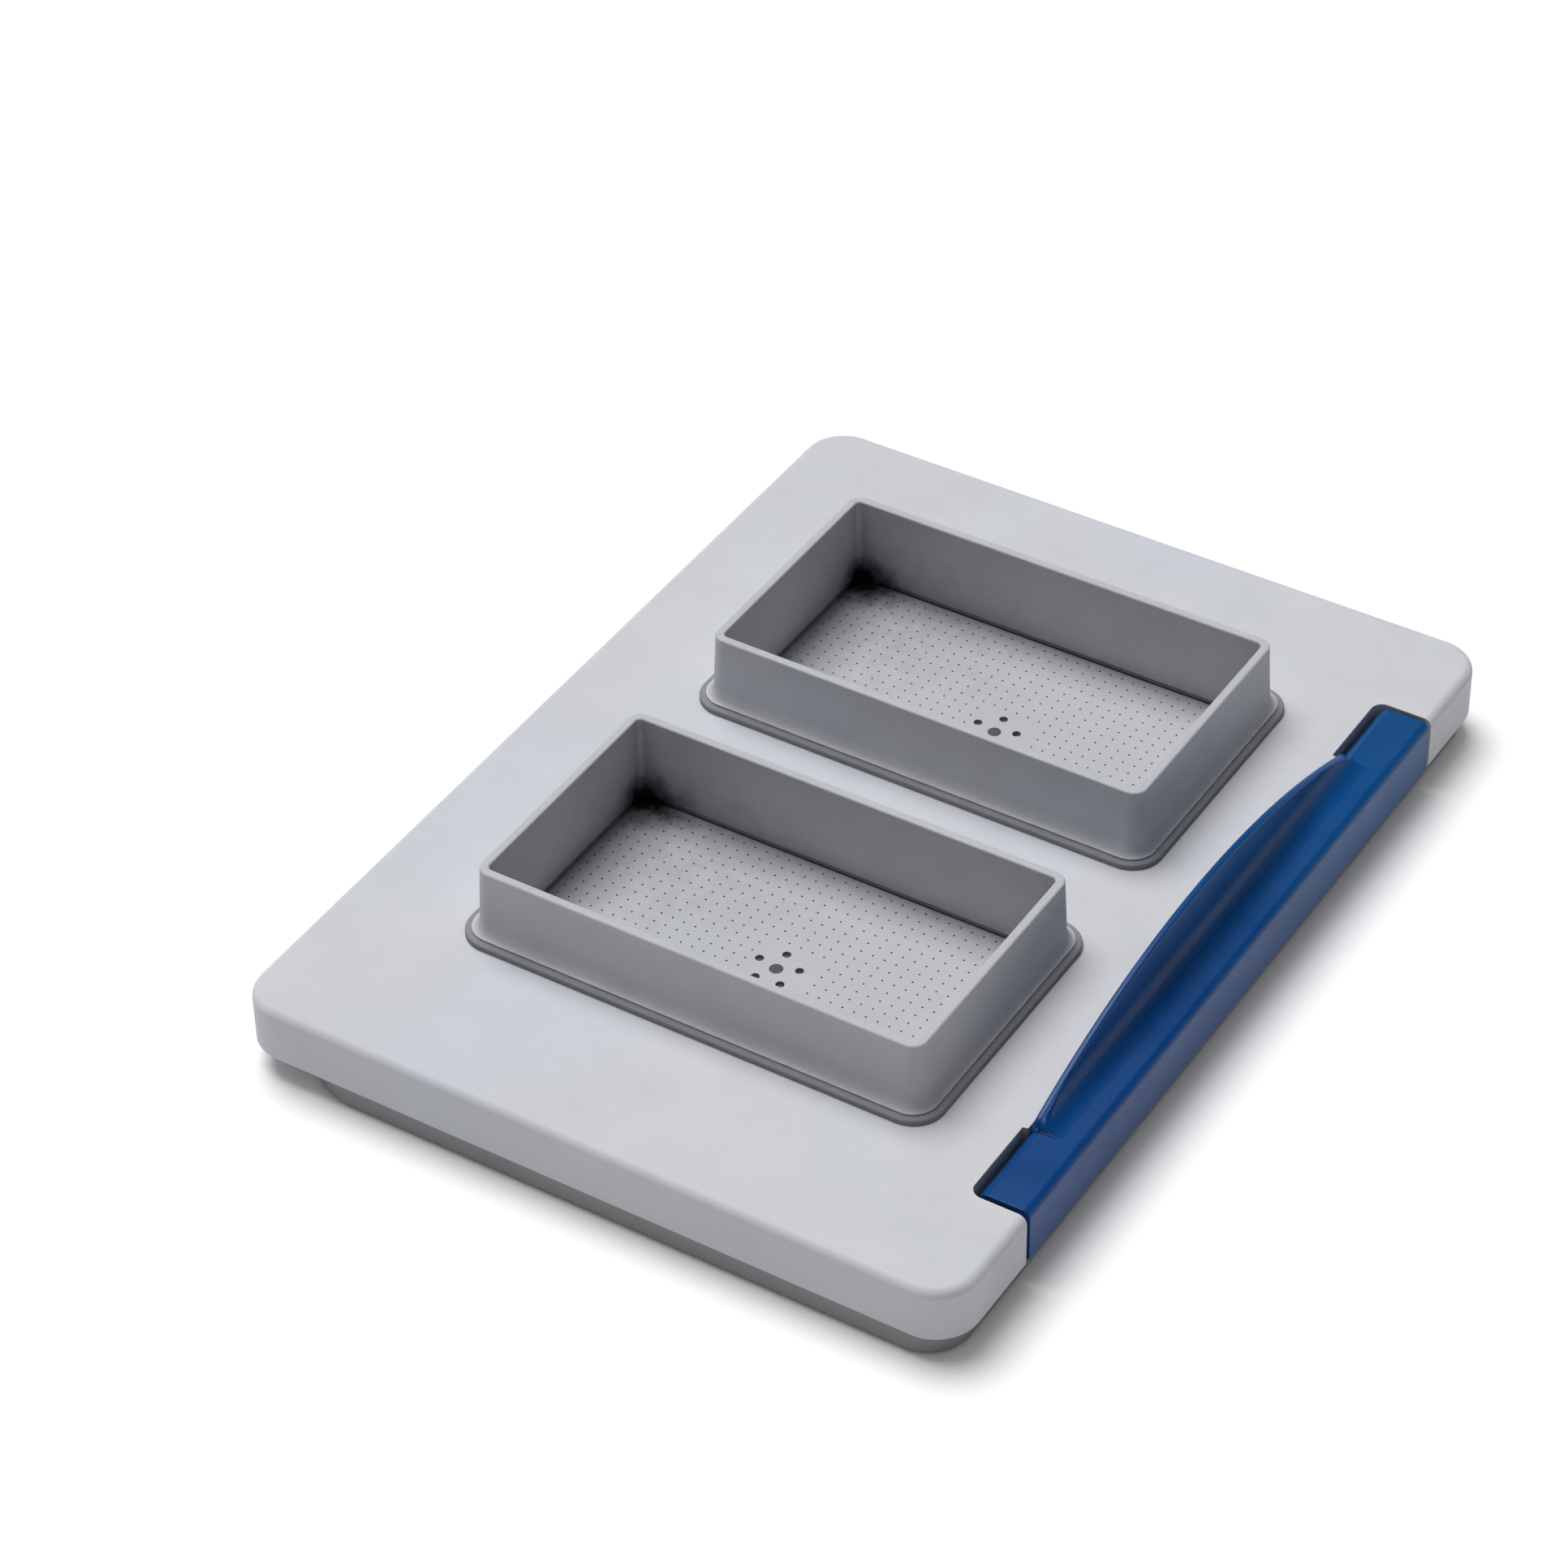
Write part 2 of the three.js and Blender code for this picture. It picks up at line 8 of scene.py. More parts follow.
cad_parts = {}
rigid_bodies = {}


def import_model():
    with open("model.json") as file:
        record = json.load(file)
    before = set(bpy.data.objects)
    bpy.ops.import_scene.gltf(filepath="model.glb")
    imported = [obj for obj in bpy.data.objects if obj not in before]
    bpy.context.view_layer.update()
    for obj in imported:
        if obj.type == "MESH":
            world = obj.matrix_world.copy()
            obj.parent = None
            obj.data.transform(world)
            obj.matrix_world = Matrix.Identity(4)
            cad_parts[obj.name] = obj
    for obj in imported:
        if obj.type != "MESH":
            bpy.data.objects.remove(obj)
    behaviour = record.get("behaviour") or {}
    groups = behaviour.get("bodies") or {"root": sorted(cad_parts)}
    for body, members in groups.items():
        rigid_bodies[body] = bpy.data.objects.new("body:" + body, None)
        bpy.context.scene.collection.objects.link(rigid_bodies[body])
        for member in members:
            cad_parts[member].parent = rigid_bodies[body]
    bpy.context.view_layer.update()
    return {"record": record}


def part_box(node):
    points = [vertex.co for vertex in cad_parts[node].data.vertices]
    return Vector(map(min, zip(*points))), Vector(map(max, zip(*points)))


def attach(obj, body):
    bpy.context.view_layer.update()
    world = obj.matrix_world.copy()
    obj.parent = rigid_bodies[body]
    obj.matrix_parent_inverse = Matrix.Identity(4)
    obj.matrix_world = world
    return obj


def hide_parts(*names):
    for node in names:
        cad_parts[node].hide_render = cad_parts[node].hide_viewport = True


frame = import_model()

scene = bpy.context.scene

# Every piece is drawn in millimetres and brought to metres when it is finished.
toMetres = 0.001
quarterTurn = math.pi / 2
sameSpot = 0.01  # points nearer than this are one
softenPast = 38  # degrees between faces past which an edge is rounded
sharpPast = 52  # and past which it is shaded as sharp


def nodeBox(name):
    low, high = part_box(name)
    return low / toMetres, high / toMetres


def oneWord(name):
    first, *rest = name.split("_")
    return first + "".join(word.title() for word in rest)


def middleOf(node):
    low, high = nodeBox(node)
    return (low + high) / 2


def addObject(name, mesh):
    made = bpy.data.objects.new(name, mesh)
    scene.collection.objects.link(made)
    return made


def meshFrom(name, points, faces):
    mesh = bpy.data.meshes.new(name)
    mesh.from_pydata(points, [], faces)
    mesh.update()
    return mesh


def settle(thing):
    # turns the modifiers' result into the object's own mesh
    graph = bpy.context.evaluated_depsgraph_get()
    mesh = bpy.data.meshes.new_from_object(thing.evaluated_get(graph), depsgraph=graph)
    before = thing.data
    thing.modifiers.clear()
    thing.data = mesh
    mesh.name = thing.name
    if before.users == 0:
        bpy.data.meshes.remove(before)
    return thing


def combine(target, tools, operation):
    for tool in tools:
        change = target.modifiers.new(tool.name, "BOOLEAN")
        change.object = tool
        change.operation = operation
        change.solver = "EXACT"
    settle(target)
    for tool in tools:
        bpy.data.objects.remove(tool)
    return target


def cutAway(target, *tools):
    return combine(target, tools, "DIFFERENCE")


def joinTo(target, *tools):
    return combine(target, tools, "UNION")


# Points along part of a circle, with both its ends.
def arc(x, y, radius, start, sweep, steps):
    angles = [start + sweep * i / steps for i in range(steps + 1)]
    return [(x + radius * math.cos(angle), y + radius * math.sin(angle)) for angle in angles]


def circle(x, y, radius, sides, turn=0.0):
    return arc(x, y, radius, turn, 2 * math.pi, sides)[:-1]


# A closed outline, counter clockwise. The radii run front left, front right,
# rear right, rear left.
def roundedRing(area, radii, steps, inset=0.0):
    x0, x1, y0, y1 = area
    x0, x1, y0, y1 = x0 + inset, x1 - inset, y0 + inset, y1 - inset
    smallest = 0.02
    r = [max(radius - inset, smallest) for radius in radii]
    centres = (
        (x0 + r[0], y0 + r[0], 2 * quarterTurn),
        (x1 - r[1], y0 + r[1], 3 * quarterTurn),
        (x1 - r[2], y1 - r[2], 0.0),
        (x0 + r[3], y1 - r[3], quarterTurn),
    )
    ring = []
    for (x, y, start), radius in zip(centres, r):
        ring += arc(x, y, radius, start, quarterTurn, steps)
    return ring


# Walls between rings of equally many points, with a cap at either end.
def loft(name, rings):
    count = len(rings[0])
    points = [point for ring in rings for point in ring]
    faces = []
    for level in range(len(rings) - 1):
        for i in range(count):
            a = level * count + i
            b = level * count + (i + 1) % count
            faces.append((a, b, b + count, a + count))
    last = (len(rings) - 1) * count
    faces.append(tuple(reversed(range(count))))
    faces.append(tuple(range(last, last + count)))
    return addObject(name, meshFrom(name, points, faces))


# A flat piece between two heights, with a rounded upper or lower edge.
def slab(name, area, radii, z0, z1, topRound=0.0, lowRound=0.0, roundSteps=6, cornerSteps=10):
    turns = [quarterTurn * i / roundSteps for i in range(roundSteps + 1)]
    levels = [
        (lowRound * (1 - math.sin(turn)), z0 + lowRound * (1 - math.cos(turn)))
        for turn in (turns if lowRound else turns[:1])
    ]
    levels += [
        (topRound * (1 - math.cos(turn)), z1 - topRound * (1 - math.sin(turn)))
        for turn in (turns if topRound else turns[-1:])
    ]
    rings = [
        [(x, y, z) for x, y in roundedRing(area, radii, cornerSteps, inset)]
        for inset, z in levels
    ]
    return loft(name, rings)


def block(name, x0, x1, y0, y1, z0, z1):
    ring = ((x0, y0), (x1, y0), (x1, y1), (x0, y1))
    return loft(name, [[(x, y, z) for x, y in ring] for z in (z0, z1)])


def barAlongY(name, radius, x, z, y0, y1, sides=40):
    ring = circle(z, x, radius, sides)
    return loft(name, [[(px, y, pz) for pz, px in ring] for y in (y0, y1)])


def postUp(name, radius, x, y, z0, z1, sides=48):
    ring = circle(x, y, radius, sides)
    return loft(name, [[(px, py, z) for px, py in ring] for z in (z0, z1)])


# A turned piece. The profile is pairs of radius and height, from the axis to the axis.
def turned(name, profile, sides, place):
    points = [place(0.0, 0.0, profile[0][1])]
    for radius, height in profile[1:-1]:
        points += [place(across, along, height) for across, along in circle(0.0, 0.0, radius, sides)]
    points.append(place(0.0, 0.0, profile[-1][1]))
    top = 1 + (len(profile) - 3) * sides
    faces = []
    for i in range(sides):
        after = (i + 1) % sides
        faces.append((0, 1 + after, 1 + i))
        faces += [(a + i, a + after, a + sides + after, a + sides + i) for a in range(1, top, sides)]
        faces.append((top + i, top + after, len(points) - 1))
    return addObject(name, meshFrom(name, points, faces))


def faceOutwards(thing):
    shape = bmesh.new()
    shape.from_mesh(thing.data)
    bmesh.ops.remove_doubles(shape, verts=shape.verts, dist=1e-4)
    bmesh.ops.recalc_face_normals(shape, faces=shape.faces)
    shape.to_mesh(thing.data)
    shape.free()
    return thing


# Rounds the sharp edges a little, as a mould does, and smooths what is left.
def softenEdges(thing, width, segments=2):
    if width:
        soften = thing.modifiers.new("soften", "BEVEL")
        soften.limit_method = "ANGLE"
        soften.angle_limit = math.radians(softenPast)
        soften.width = width
        soften.segments = segments
        soften.use_clamp_overlap = False
        soften.miter_outer = "MITER_ARC"
        settle(thing)
    thing.data.shade_smooth()
    thing.data.set_sharp_from_angle(angle=math.radians(sharpPast))
    flatten = thing.modifiers.new("flatten", "WEIGHTED_NORMAL")
    flatten.keep_sharp = True
    settle(thing)
    return thing


def finishPiece(thing, body, node, finish):
    thing.data.transform(Matrix.Scale(toMetres, 4))
    thing.data.materials.clear()
    thing.data.materials.append(finishes[finish])
    for face in thing.data.polygons:
        face.material_index = 0
    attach(thing, body)
    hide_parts(node)
    return thing


ends = ("front", "rear")
footNodes = ["foot_front_left", "foot_front_right", "foot_rear_left", "foot_rear_right"]


# The camera stands at the front, a little round towards the latch.
cameraView = {
    "azimuth": 32.5026,  # degrees round from the front towards the latch side
    "elevation": 39.7025,
    "roll": -1.0765,
    "aim": (-23.435, 4.214, 10.0),  # mm
    "distance": 859.43,
    "lens": 111.01,  # on a sensor 36 mm wide
    "sensor": 36.0,
}


def makeCamera():
    azimuth = math.radians(cameraView["azimuth"])
    elevation = math.radians(cameraView["elevation"])
    roll = math.radians(cameraView["roll"])
    back = Vector((
        math.sin(azimuth) * math.cos(elevation),
        -math.cos(azimuth) * math.cos(elevation),
        math.sin(elevation),
    ))
    right = (-back).cross(Vector((0, 0, 1))).normalized()
    up = right.cross(-back)
    turnedRight = math.cos(roll) * right + math.sin(roll) * up
    turnedUp = math.cos(roll) * up - math.sin(roll) * right
    lens = bpy.data.cameras.new("viewCamera")
    lens.sensor_width = cameraView["sensor"]
    lens.lens = cameraView["lens"]
    lens.clip_start = 0.01
    camera = bpy.data.objects.new("viewCamera", lens)
    scene.collection.objects.link(camera)
    turn = Matrix((turnedRight, turnedUp, back)).transposed()
    spot = Vector(cameraView["aim"]) + cameraView["distance"] * back
    camera.matrix_world = Matrix.Translation(spot * toMetres) @ turn.to_4x4()
    scene.camera = camera


makeCamera()
scene.view_settings.view_transform = "Standard"
print("camera placed")


def addNode(tree, kind, **values):
    node = tree.nodes.new(kind)
    for name, value in values.items():
        setattr(node, name, value)
    return node


def give(tree, socket, value):
    if isinstance(value, bpy.types.NodeSocket):
        tree.links.new(value, socket)
    else:
        socket.default_value = value


# Gives a node's inputs by name, with an underscore for each space.
def wire(tree, node, **sources):
    for name, source in sources.items():
        give(tree, node.inputs[name.replace("_", " ")], source)
    return node


def mathNode(tree, operation, first, second=None, clamp=False):
    node = addNode(tree, "ShaderNodeMath", operation=operation, use_clamp=clamp)
    give(tree, node.inputs[0], first)
    if second is not None:
        give(tree, node.inputs[1], second)
    return node.outputs[0]


def times(tree, first, second, clamp=False):
    return mathNode(tree, "MULTIPLY", first, second, clamp)


def vectorNode(tree, operation, first, second=None):
    node = addNode(tree, "ShaderNodeVectorMath", operation=operation)
    give(tree, node.inputs[0], first)
    if second is not None:
        give(tree, node.inputs["Scale" if operation == "SCALE" else 1], second)
    return node.outputs["Value" if operation in ("LENGTH", "DOT_PRODUCT") else "Vector"]


def splitVector(tree, vector):
    node = addNode(tree, "ShaderNodeSeparateXYZ")
    tree.links.new(vector, node.inputs[0])
    return node.outputs


def rangeNode(tree, value, fromLow, fromHigh, toLow=0.0, toHigh=1.0):
    node = addNode(tree, "ShaderNodeMapRange")
    wire(tree, node, Value=value, From_Min=fromLow, From_Max=fromHigh, To_Min=toLow, To_Max=toHigh)
    return node.outputs["Result"]


def mixColour(tree, factor, first, second):
    node = addNode(tree, "ShaderNodeMix", data_type="RGBA")
    for i, value in ((0, factor), (6, first), (7, second)):
        give(tree, node.inputs[i], value)
    return node.outputs[2]


def noiseNode(tree, vector, scale, detail, roughness):
    node = addNode(tree, "ShaderNodeTexNoise")
    wire(tree, node, Vector=vector, Scale=scale, Detail=detail, Roughness=roughness)
    return node.outputs[0]


def startGroup(name, kind, inputs, outputs):
    group = bpy.data.node_groups.new(name, kind)
    for label, holds, *value in inputs:
        socket = group.interface.new_socket(name=label, in_out="INPUT", socket_type="NodeSocket" + holds)
        if value:
            socket.default_value = value[0]
    for label, holds in outputs:
        group.interface.new_socket(name=label, in_out="OUTPUT", socket_type="NodeSocket" + holds)
    given = group.nodes.new("NodeGroupInput")
    result = group.nodes.new("NodeGroupOutput")
    return group, given.outputs, result.inputs


def placeGroup(tree, group, **values):
    return wire(tree, addNode(tree, "ShaderNodeGroup", node_tree=group), **values).outputs


def addBump(tree, shader, height, strength, depth):
    bump = addNode(tree, "ShaderNodeBump")
    wire(tree, bump, Height=height, Strength=strength, Distance=depth * toMetres)
    wire(tree, shader, Normal=bump.outputs[0])


# Sizes inside the groups are in millimetres on the piece.
def millimetres(tree):
    coordinate = addNode(tree, "ShaderNodeTexCoord")
    return vectorNode(tree, "SCALE", coordinate.outputs["Object"], 1 / toMetres)


def perMillimetre(tree, size):
    return mathNode(tree, "DIVIDE", 1.0, size)


# The fine matt texture that a spark-eroded mould leaves.
def makeMouldGrain():
    group, given, result = startGroup(
        "mouldGrain", "ShaderNodeTree",
        [("size", "Float", 0.3), ("waviness", "Float", 0.3)],
        [("height", "Float"), ("speckle", "Float")],
    )
    spot = millimetres(group)
    fine = noiseNode(group, spot, perMillimetre(group, given["size"]), 3.0, 0.6)
    cells = addNode(group, "ShaderNodeTexVoronoi", feature="SMOOTH_F1")
    wire(group, cells, Vector=spot, Scale=mathNode(group, "DIVIDE", 0.7, given["size"]))
    broad = noiseNode(group, spot, 0.045, 1.0, 0.4)
    pits = times(group, cells.outputs["Distance"], 0.5)
    grain = mathNode(group, "ADD", fine, pits)
    sway = times(group, broad, given["waviness"])
    group.links.new(mathNode(group, "ADD", grain, sway), result["height"])
    group.links.new(rangeNode(group, fine, 0.35, 0.65), result["speckle"])
    return group


# Slow drifts of tone over a moulding, with a faint fleck in it.
def makeSoftTone():
    group, given, result = startGroup(
        "softTone", "ShaderNodeTree",
        [
            ("colour", "Color", (0.5, 0.5, 0.5, 1)),
            ("warmer", "Color", (0.5, 0.5, 0.5, 1)),
            ("patch", "Float", 40.0),
            ("depth", "Float", 0.1),
            ("fleck", "Float", 0.03),
        ],
        [("colour", "Color")],
    )
    spot = millimetres(group)
    drift = noiseNode(group, spot, perMillimetre(group, given["patch"]), 2.0, 0.55)
    tinted = mixColour(group, rangeNode(group, drift, 0.3, 0.7), given["colour"], given["warmer"])
    second = noiseNode(group, spot, mathNode(group, "DIVIDE", 3.1, given["patch"]), 3.0, 0.6)
    shade = times(group, rangeNode(group, second, 0.25, 0.75, -1.0, 1.0), given["depth"])
    grit = noiseNode(group, spot, 1.9, 2.0, 0.7)
    flecks = times(group, rangeNode(group, grit, 0.3, 0.7, -1.0, 1.0), given["fleck"])
    level = mathNode(group, "ADD", mathNode(group, "ADD", shade, flecks), 1.0)
    group.links.new(vectorNode(group, "SCALE", tinted, level), result["colour"])
    return group


# Where hands and benches have rubbed the edges, and where edges are painted lighter or darker: a painted
# highlight on the well rims, painted dark edges on the latch.
def makeEdgeWearAndShading():
    group, given, result = startGroup(
        "edgeWear", "ShaderNodeTree",
        [("width", "Float", 0.6), ("amount", "Float", 1.0), ("breakup", "Float", 3.0)],
        [("mask", "Float")],
    )
    rounded = addNode(group, "ShaderNodeBevel", samples=4)
    group.links.new(times(group, given["width"], toMetres), rounded.inputs["Radius"])
    surface = addNode(group, "ShaderNodeNewGeometry")
    meet = vectorNode(group, "DOT_PRODUCT", rounded.outputs[0], surface.outputs["Normal"])
    edge = rangeNode(group, meet, 0.995, 0.86)
    patches = noiseNode(group, millimetres(group), perMillimetre(group, given["breakup"]), 4.0, 0.65)
    broken = rangeNode(group, patches, 0.36, 0.62, 0.15, 1.0)
    wornAndShadedEdges = times(group, times(group, edge, broken), given["amount"], clamp=True)
    group.links.new(wornAndShadedEdges, result["mask"])
    return group


# Fine rubbed lines and faint smears from handling and wiping.
def makeHandling():
    group, given, result = startGroup(
        "handling", "ShaderNodeTree",
        [("lines", "Float", 1.0), ("smears", "Float", 1.0)],
        [("mask", "Float")],
    )
    spot = millimetres(group)
    total = None
    for turn, stretch in ((0.35, (0.035, 1.7, 1.7)), (1.9, (0.05, 2.3, 2.3))):
        aligned = addNode(group, "ShaderNodeMapping")
        wire(group, aligned, Vector=spot, Rotation=(0.0, 0.0, turn), Scale=stretch)
        streaks = rangeNode(group, noiseNode(group, aligned.outputs[0], 1.0, 3.0, 0.55), 0.64, 0.74)
        total = streaks if total is None else mathNode(group, "MAXIMUM", total, streaks)
    rubbed = times(group, total, given["lines"])
    smear = rangeNode(group, noiseNode(group, spot, 0.07, 4.0, 0.6), 0.42, 0.7)
    smeared = times(group, smear, given["smears"])
    group.links.new(mathNode(group, "ADD", rubbed, smeared, clamp=True), result["mask"])
    return group


# Dust, and painted shade, that gather in inner corners and hollows: darker where the surface is hemmed in.
def makeDustAndShade():
    group, given, result = startGroup(
        "settledDust", "ShaderNodeTree",
        [("reach", "Float", 2.0), ("amount", "Float", 1.0)],
        [("mask", "Float")],
    )
    hollow = addNode(group, "ShaderNodeAmbientOcclusion", samples=4)
    group.links.new(times(group, given["reach"], toMetres), hollow.inputs["Distance"])
    depth = rangeNode(group, hollow.outputs["AO"], 0.75, 0.25)
    patches = rangeNode(group, noiseNode(group, millimetres(group), 0.4, 3.0, 0.6), 0.3, 0.7, 0.4, 1.0)
    patchy = times(group, depth, patches)
    dust = times(group, patchy, given["amount"], clamp=True)
    group.links.new(dust, result["mask"])
    return group


# Painted shade in one corner of each well, the rear corner on the hinge side, where the rear and side walls
# shade the floor: darkest in the corner and fading outwards.
def makeCornerShade():
    group, given, result = startGroup(
        "cornerStain", "ShaderNodeTree",
        [
            ("front", "Vector", (0.0, 0.0, 0.0)),
            ("rear", "Vector", (0.0, 0.0, 0.0)),
            ("reach", "Vector", (13.0, 9.0, 7.0)),
            ("amount", "Float", 1.0),
        ],
        [("mask", "Float")],
    )
    spot = millimetres(group)
    away = []
    for corner in ends:
        offset = vectorNode(group, "SUBTRACT", spot, given[corner])
        length = vectorNode(group, "LENGTH", vectorNode(group, "DIVIDE", offset, given["reach"]))
        parts = splitVector(group, offset)
        outwards = mathNode(group, "MAXIMUM", times(group, parts[0], -1.0), parts[1])
        outside = rangeNode(group, outwards, 0.35, 0.7, 0.0, 2.0)  # none on the outer faces
        away.append(mathNode(group, "ADD", length, outside))
    nearest = mathNode(group, "MINIMUM", away[0], away[1])
    uneven = rangeNode(group, noiseNode(group, spot, 0.3, 4.0, 0.6), 0.3, 0.7, -0.16, 0.16)
    depth = rangeNode(group, mathNode(group, "ADD", nearest, uneven), 1.0, 0.3)
    fading = mathNode(group, "POWER", depth, 1.4)
    group.links.new(times(group, fading, given["amount"], clamp=True), result["mask"])
    return group


footToInside = 3.7  # from the edge of a well's foot to its inner face


def darkCornerSpot(end):
    low, high = nodeBox("well_frame_" + end)
    return low.x + footToInside, high.y - footToInside, nodeBox("floor_sheet_" + end)[1].z


mouldGrain = makeMouldGrain()
softTone = makeSoftTone()
edgeWear = makeEdgeWearAndShading()
handling = makeHandling()
settledDust = makeDustAndShade()
cornerStain = makeCornerShade()


def startMaterial(name):
    material = bpy.data.materials.new(name)
    material.use_nodes = True
    tree = material.node_tree
    return material, tree, tree.nodes["Principled BSDF"]


def mouldedPlastic(name, look):
    material, tree, shader = startMaterial(name)
    shades = ("colour", "warmer", "patch", "depth", "fleck")
    tone = placeGroup(tree, softTone, **{name: look[name] for name in shades})
    # edges tinted: partly wear, partly painted light, a highlight on the well rims and dark edge lines on
    # the latch
    wear = placeGroup(tree, edgeWear, width=look["shadingAndWearWidth"], amount=look["wear"], breakup=3.0)
    # painted shade in corners and hollows, with some dust: darker where the surface is hemmed in
    dust = placeGroup(tree, settledDust, reach=look["shadeAndDustReach"], amount=look["dust"])
    rubbed = placeGroup(tree, handling, lines=look["lines"], smears=look["smears"])
    grain = placeGroup(tree, mouldGrain, size=look["grainSize"], waviness=look["waviness"])
    wornAndShadedEdges = mixColour(tree, wear["mask"], tone["colour"], look["edgeWearAndShadeColour"])
    dustyAndShaded = mixColour(tree, dust["mask"], wornAndShadedEdges, look["shadeAndDustColour"])
    corners = {end: darkCornerSpot(end) for end in ends}
    # painted shade in each well's rear corner on the hinge side
    for reach, amount, colour in look["cornerShading"]:
        paintedCornerMix = placeGroup(tree, cornerStain, reach=reach, amount=amount, **corners)
        dustyAndShaded = mixColour(tree, paintedCornerMix["mask"], dustyAndShaded, colour)
    low, high = look["roughness"]
    rough = rangeNode(tree, rubbed["mask"], 0.0, 1.0, high, low)
    speckled = mathNode(tree, "MULTIPLY_ADD", grain["speckle"], 0.04)
    tree.links.new(rough, speckled.node.inputs[2])
    addBump(tree, shader, grain["height"], look["grain"], look["grainDepth"])
    wire(
        tree, shader,
        Base_Color=dustyAndShaded, Roughness=speckled, IOR=look["ior"], Specular_IOR_Level=look["gloss"],
    )
    return material


# Reach in millimetres, amount and colour of the painted corner shade: a broad grey shade, and the near-black
# shade in the corner inside it.
wellCornerShade = [
    ((48.0, 34.0, 14.0), 0.42, (0.20, 0.205, 0.225, 1)),
    ((14.0, 9.5, 7.5), 1.0, (0.003, 0.004, 0.007, 1)),
]
plateLook = {
    "colour": (0.600, 0.622, 0.672, 1),
    "warmer": (0.625, 0.628, 0.652, 1),
    "edgeWearAndShadeColour": (0.70, 0.715, 0.74, 1),
    "shadeAndDustColour": (0.40, 0.40, 0.41, 1),
    "patch": 46.0, "depth": 0.035, "fleck": 0.02,
    "wear": 0.55, "shadingAndWearWidth": 0.7,
    "dust": 0.5, "shadeAndDustReach": 2.0,
    "cornerShading": [],
    "lines": 0.35, "smears": 0.4,
    "roughness": (0.44, 0.60),
    "grainSize": 0.34, "waviness": 0.3, "grain": 0.5, "grainDepth": 0.035,
    "ior": 1.5, "gloss": 0.35,
}
# The wells' edges are tinted lighter, partly wear and partly a painted highlight on the rims; their dark
# dust-and-shade colour reaches far up the walls: painted shade, darker towards each wall's foot and in the
# corners.
wellLook = dict(
    plateLook, colour=(0.515, 0.528, 0.565, 1), warmer=(0.525, 0.530, 0.556, 1), cornerShading=wellCornerShade,
    edgeWearAndShadeColour=(0.68, 0.69, 0.72, 1), wear=0.8, shadingAndWearWidth=0.5, patch=30.0, depth=0.045,
    shadeAndDustColour=(0.12, 0.125, 0.145, 1), dust=1.0, shadeAndDustReach=9.5,
)
# The floors darken near the walls: painted shade of the walls, with some dust.
floorLook = dict(
    plateLook, colour=(0.500, 0.516, 0.555, 1), warmer=(0.510, 0.516, 0.540, 1),
    grainSize=0.22, roughness=(0.5, 0.66), wear=0.2, shadingAndWearWidth=0.2, fleck=0.03, cornerShading=wellCornerShade,
    shadeAndDustColour=(0.12, 0.125, 0.14, 1), dust=0.8, shadeAndDustReach=8.0,
)
# The grids go near-black in their hollows: painted shade, with some dust.
gridLook = dict(
    plateLook, colour=(0.46, 0.47, 0.50, 1), warmer=(0.48, 0.48, 0.49, 1), roughness=(0.42, 0.55),
    shadeAndDustColour=(0.03, 0.031, 0.034, 1), dust=1.6, shadeAndDustReach=3.0,
)
baseLook = dict(
    plateLook, colour=(0.275, 0.277, 0.288, 1), warmer=(0.292, 0.288, 0.290, 1),
    edgeWearAndShadeColour=(0.48, 0.48, 0.49, 1), shadeAndDustColour=(0.27, 0.265, 0.26, 1), roughness=(0.4, 0.56), dust=0.8,
)
# The latch's edges are tinted dark navy: a painted dark reflection along its rounded edges, partly wear.
latchLook = dict(
    plateLook, colour=(0.0003, 0.078, 0.255, 1), warmer=(0.0001, 0.052, 0.212, 1),
    edgeWearAndShadeColour=(0.001, 0.024, 0.080, 1), shadeAndDustColour=(0.006, 0.035, 0.11, 1),
    patch=52.0, depth=0.10, fleck=0.05, wear=0.7, shadingAndWearWidth=0.6, dust=0.4,
    lines=0.6, smears=0.7, roughness=(0.26, 0.36), grainSize=0.5, waviness=0.8, grain=0.3, grainDepth=0.03,
    ior=1.46, gloss=0.27,
)
sealLook = dict(
    plateLook, colour=(0.185, 0.190, 0.205, 1), warmer=(0.195, 0.198, 0.205, 1),
    edgeWearAndShadeColour=(0.24, 0.24, 0.25, 1), shadeAndDustColour=(0.12, 0.12, 0.125, 1),
    roughness=(0.68, 0.86), grainSize=0.25, grain=0.6, gloss=0.3, dust=0.6, cornerShading=wellCornerShade,
)
# The collars' grey is set darker than the well plastic, so that their lit tops match the walls' shaded tone
# along each well's foot: painted shade.
collarLook = dict(
    sealLook, colour=(0.265, 0.270, 0.290, 1), warmer=(0.275, 0.278, 0.288, 1),
    edgeWearAndShadeColour=(0.33, 0.33, 0.35, 1), cornerShading=[],
)
footLook = dict(
    sealLook, colour=(0.022, 0.022, 0.024, 1), warmer=(0.03, 0.03, 0.031, 1),
    grainSize=0.4, wear=0.9, cornerShading=[],
)

pinLook = {
    "colour": (0.50, 0.51, 0.53, 1),
    "darker": (0.36, 0.365, 0.375, 1),
    "edgeWearAndShadeColour": (0.66, 0.66, 0.68, 1),
    "drawLines": 0.35,  # bump of the drawn wire
    "lineDepth": 0.02,
    "lineStretch": (9.0, 0.25, 9.0),
    "wear": 0.8, "shadingAndWearWidth": 0.3,
    "roughness": (0.22, 0.38),
}


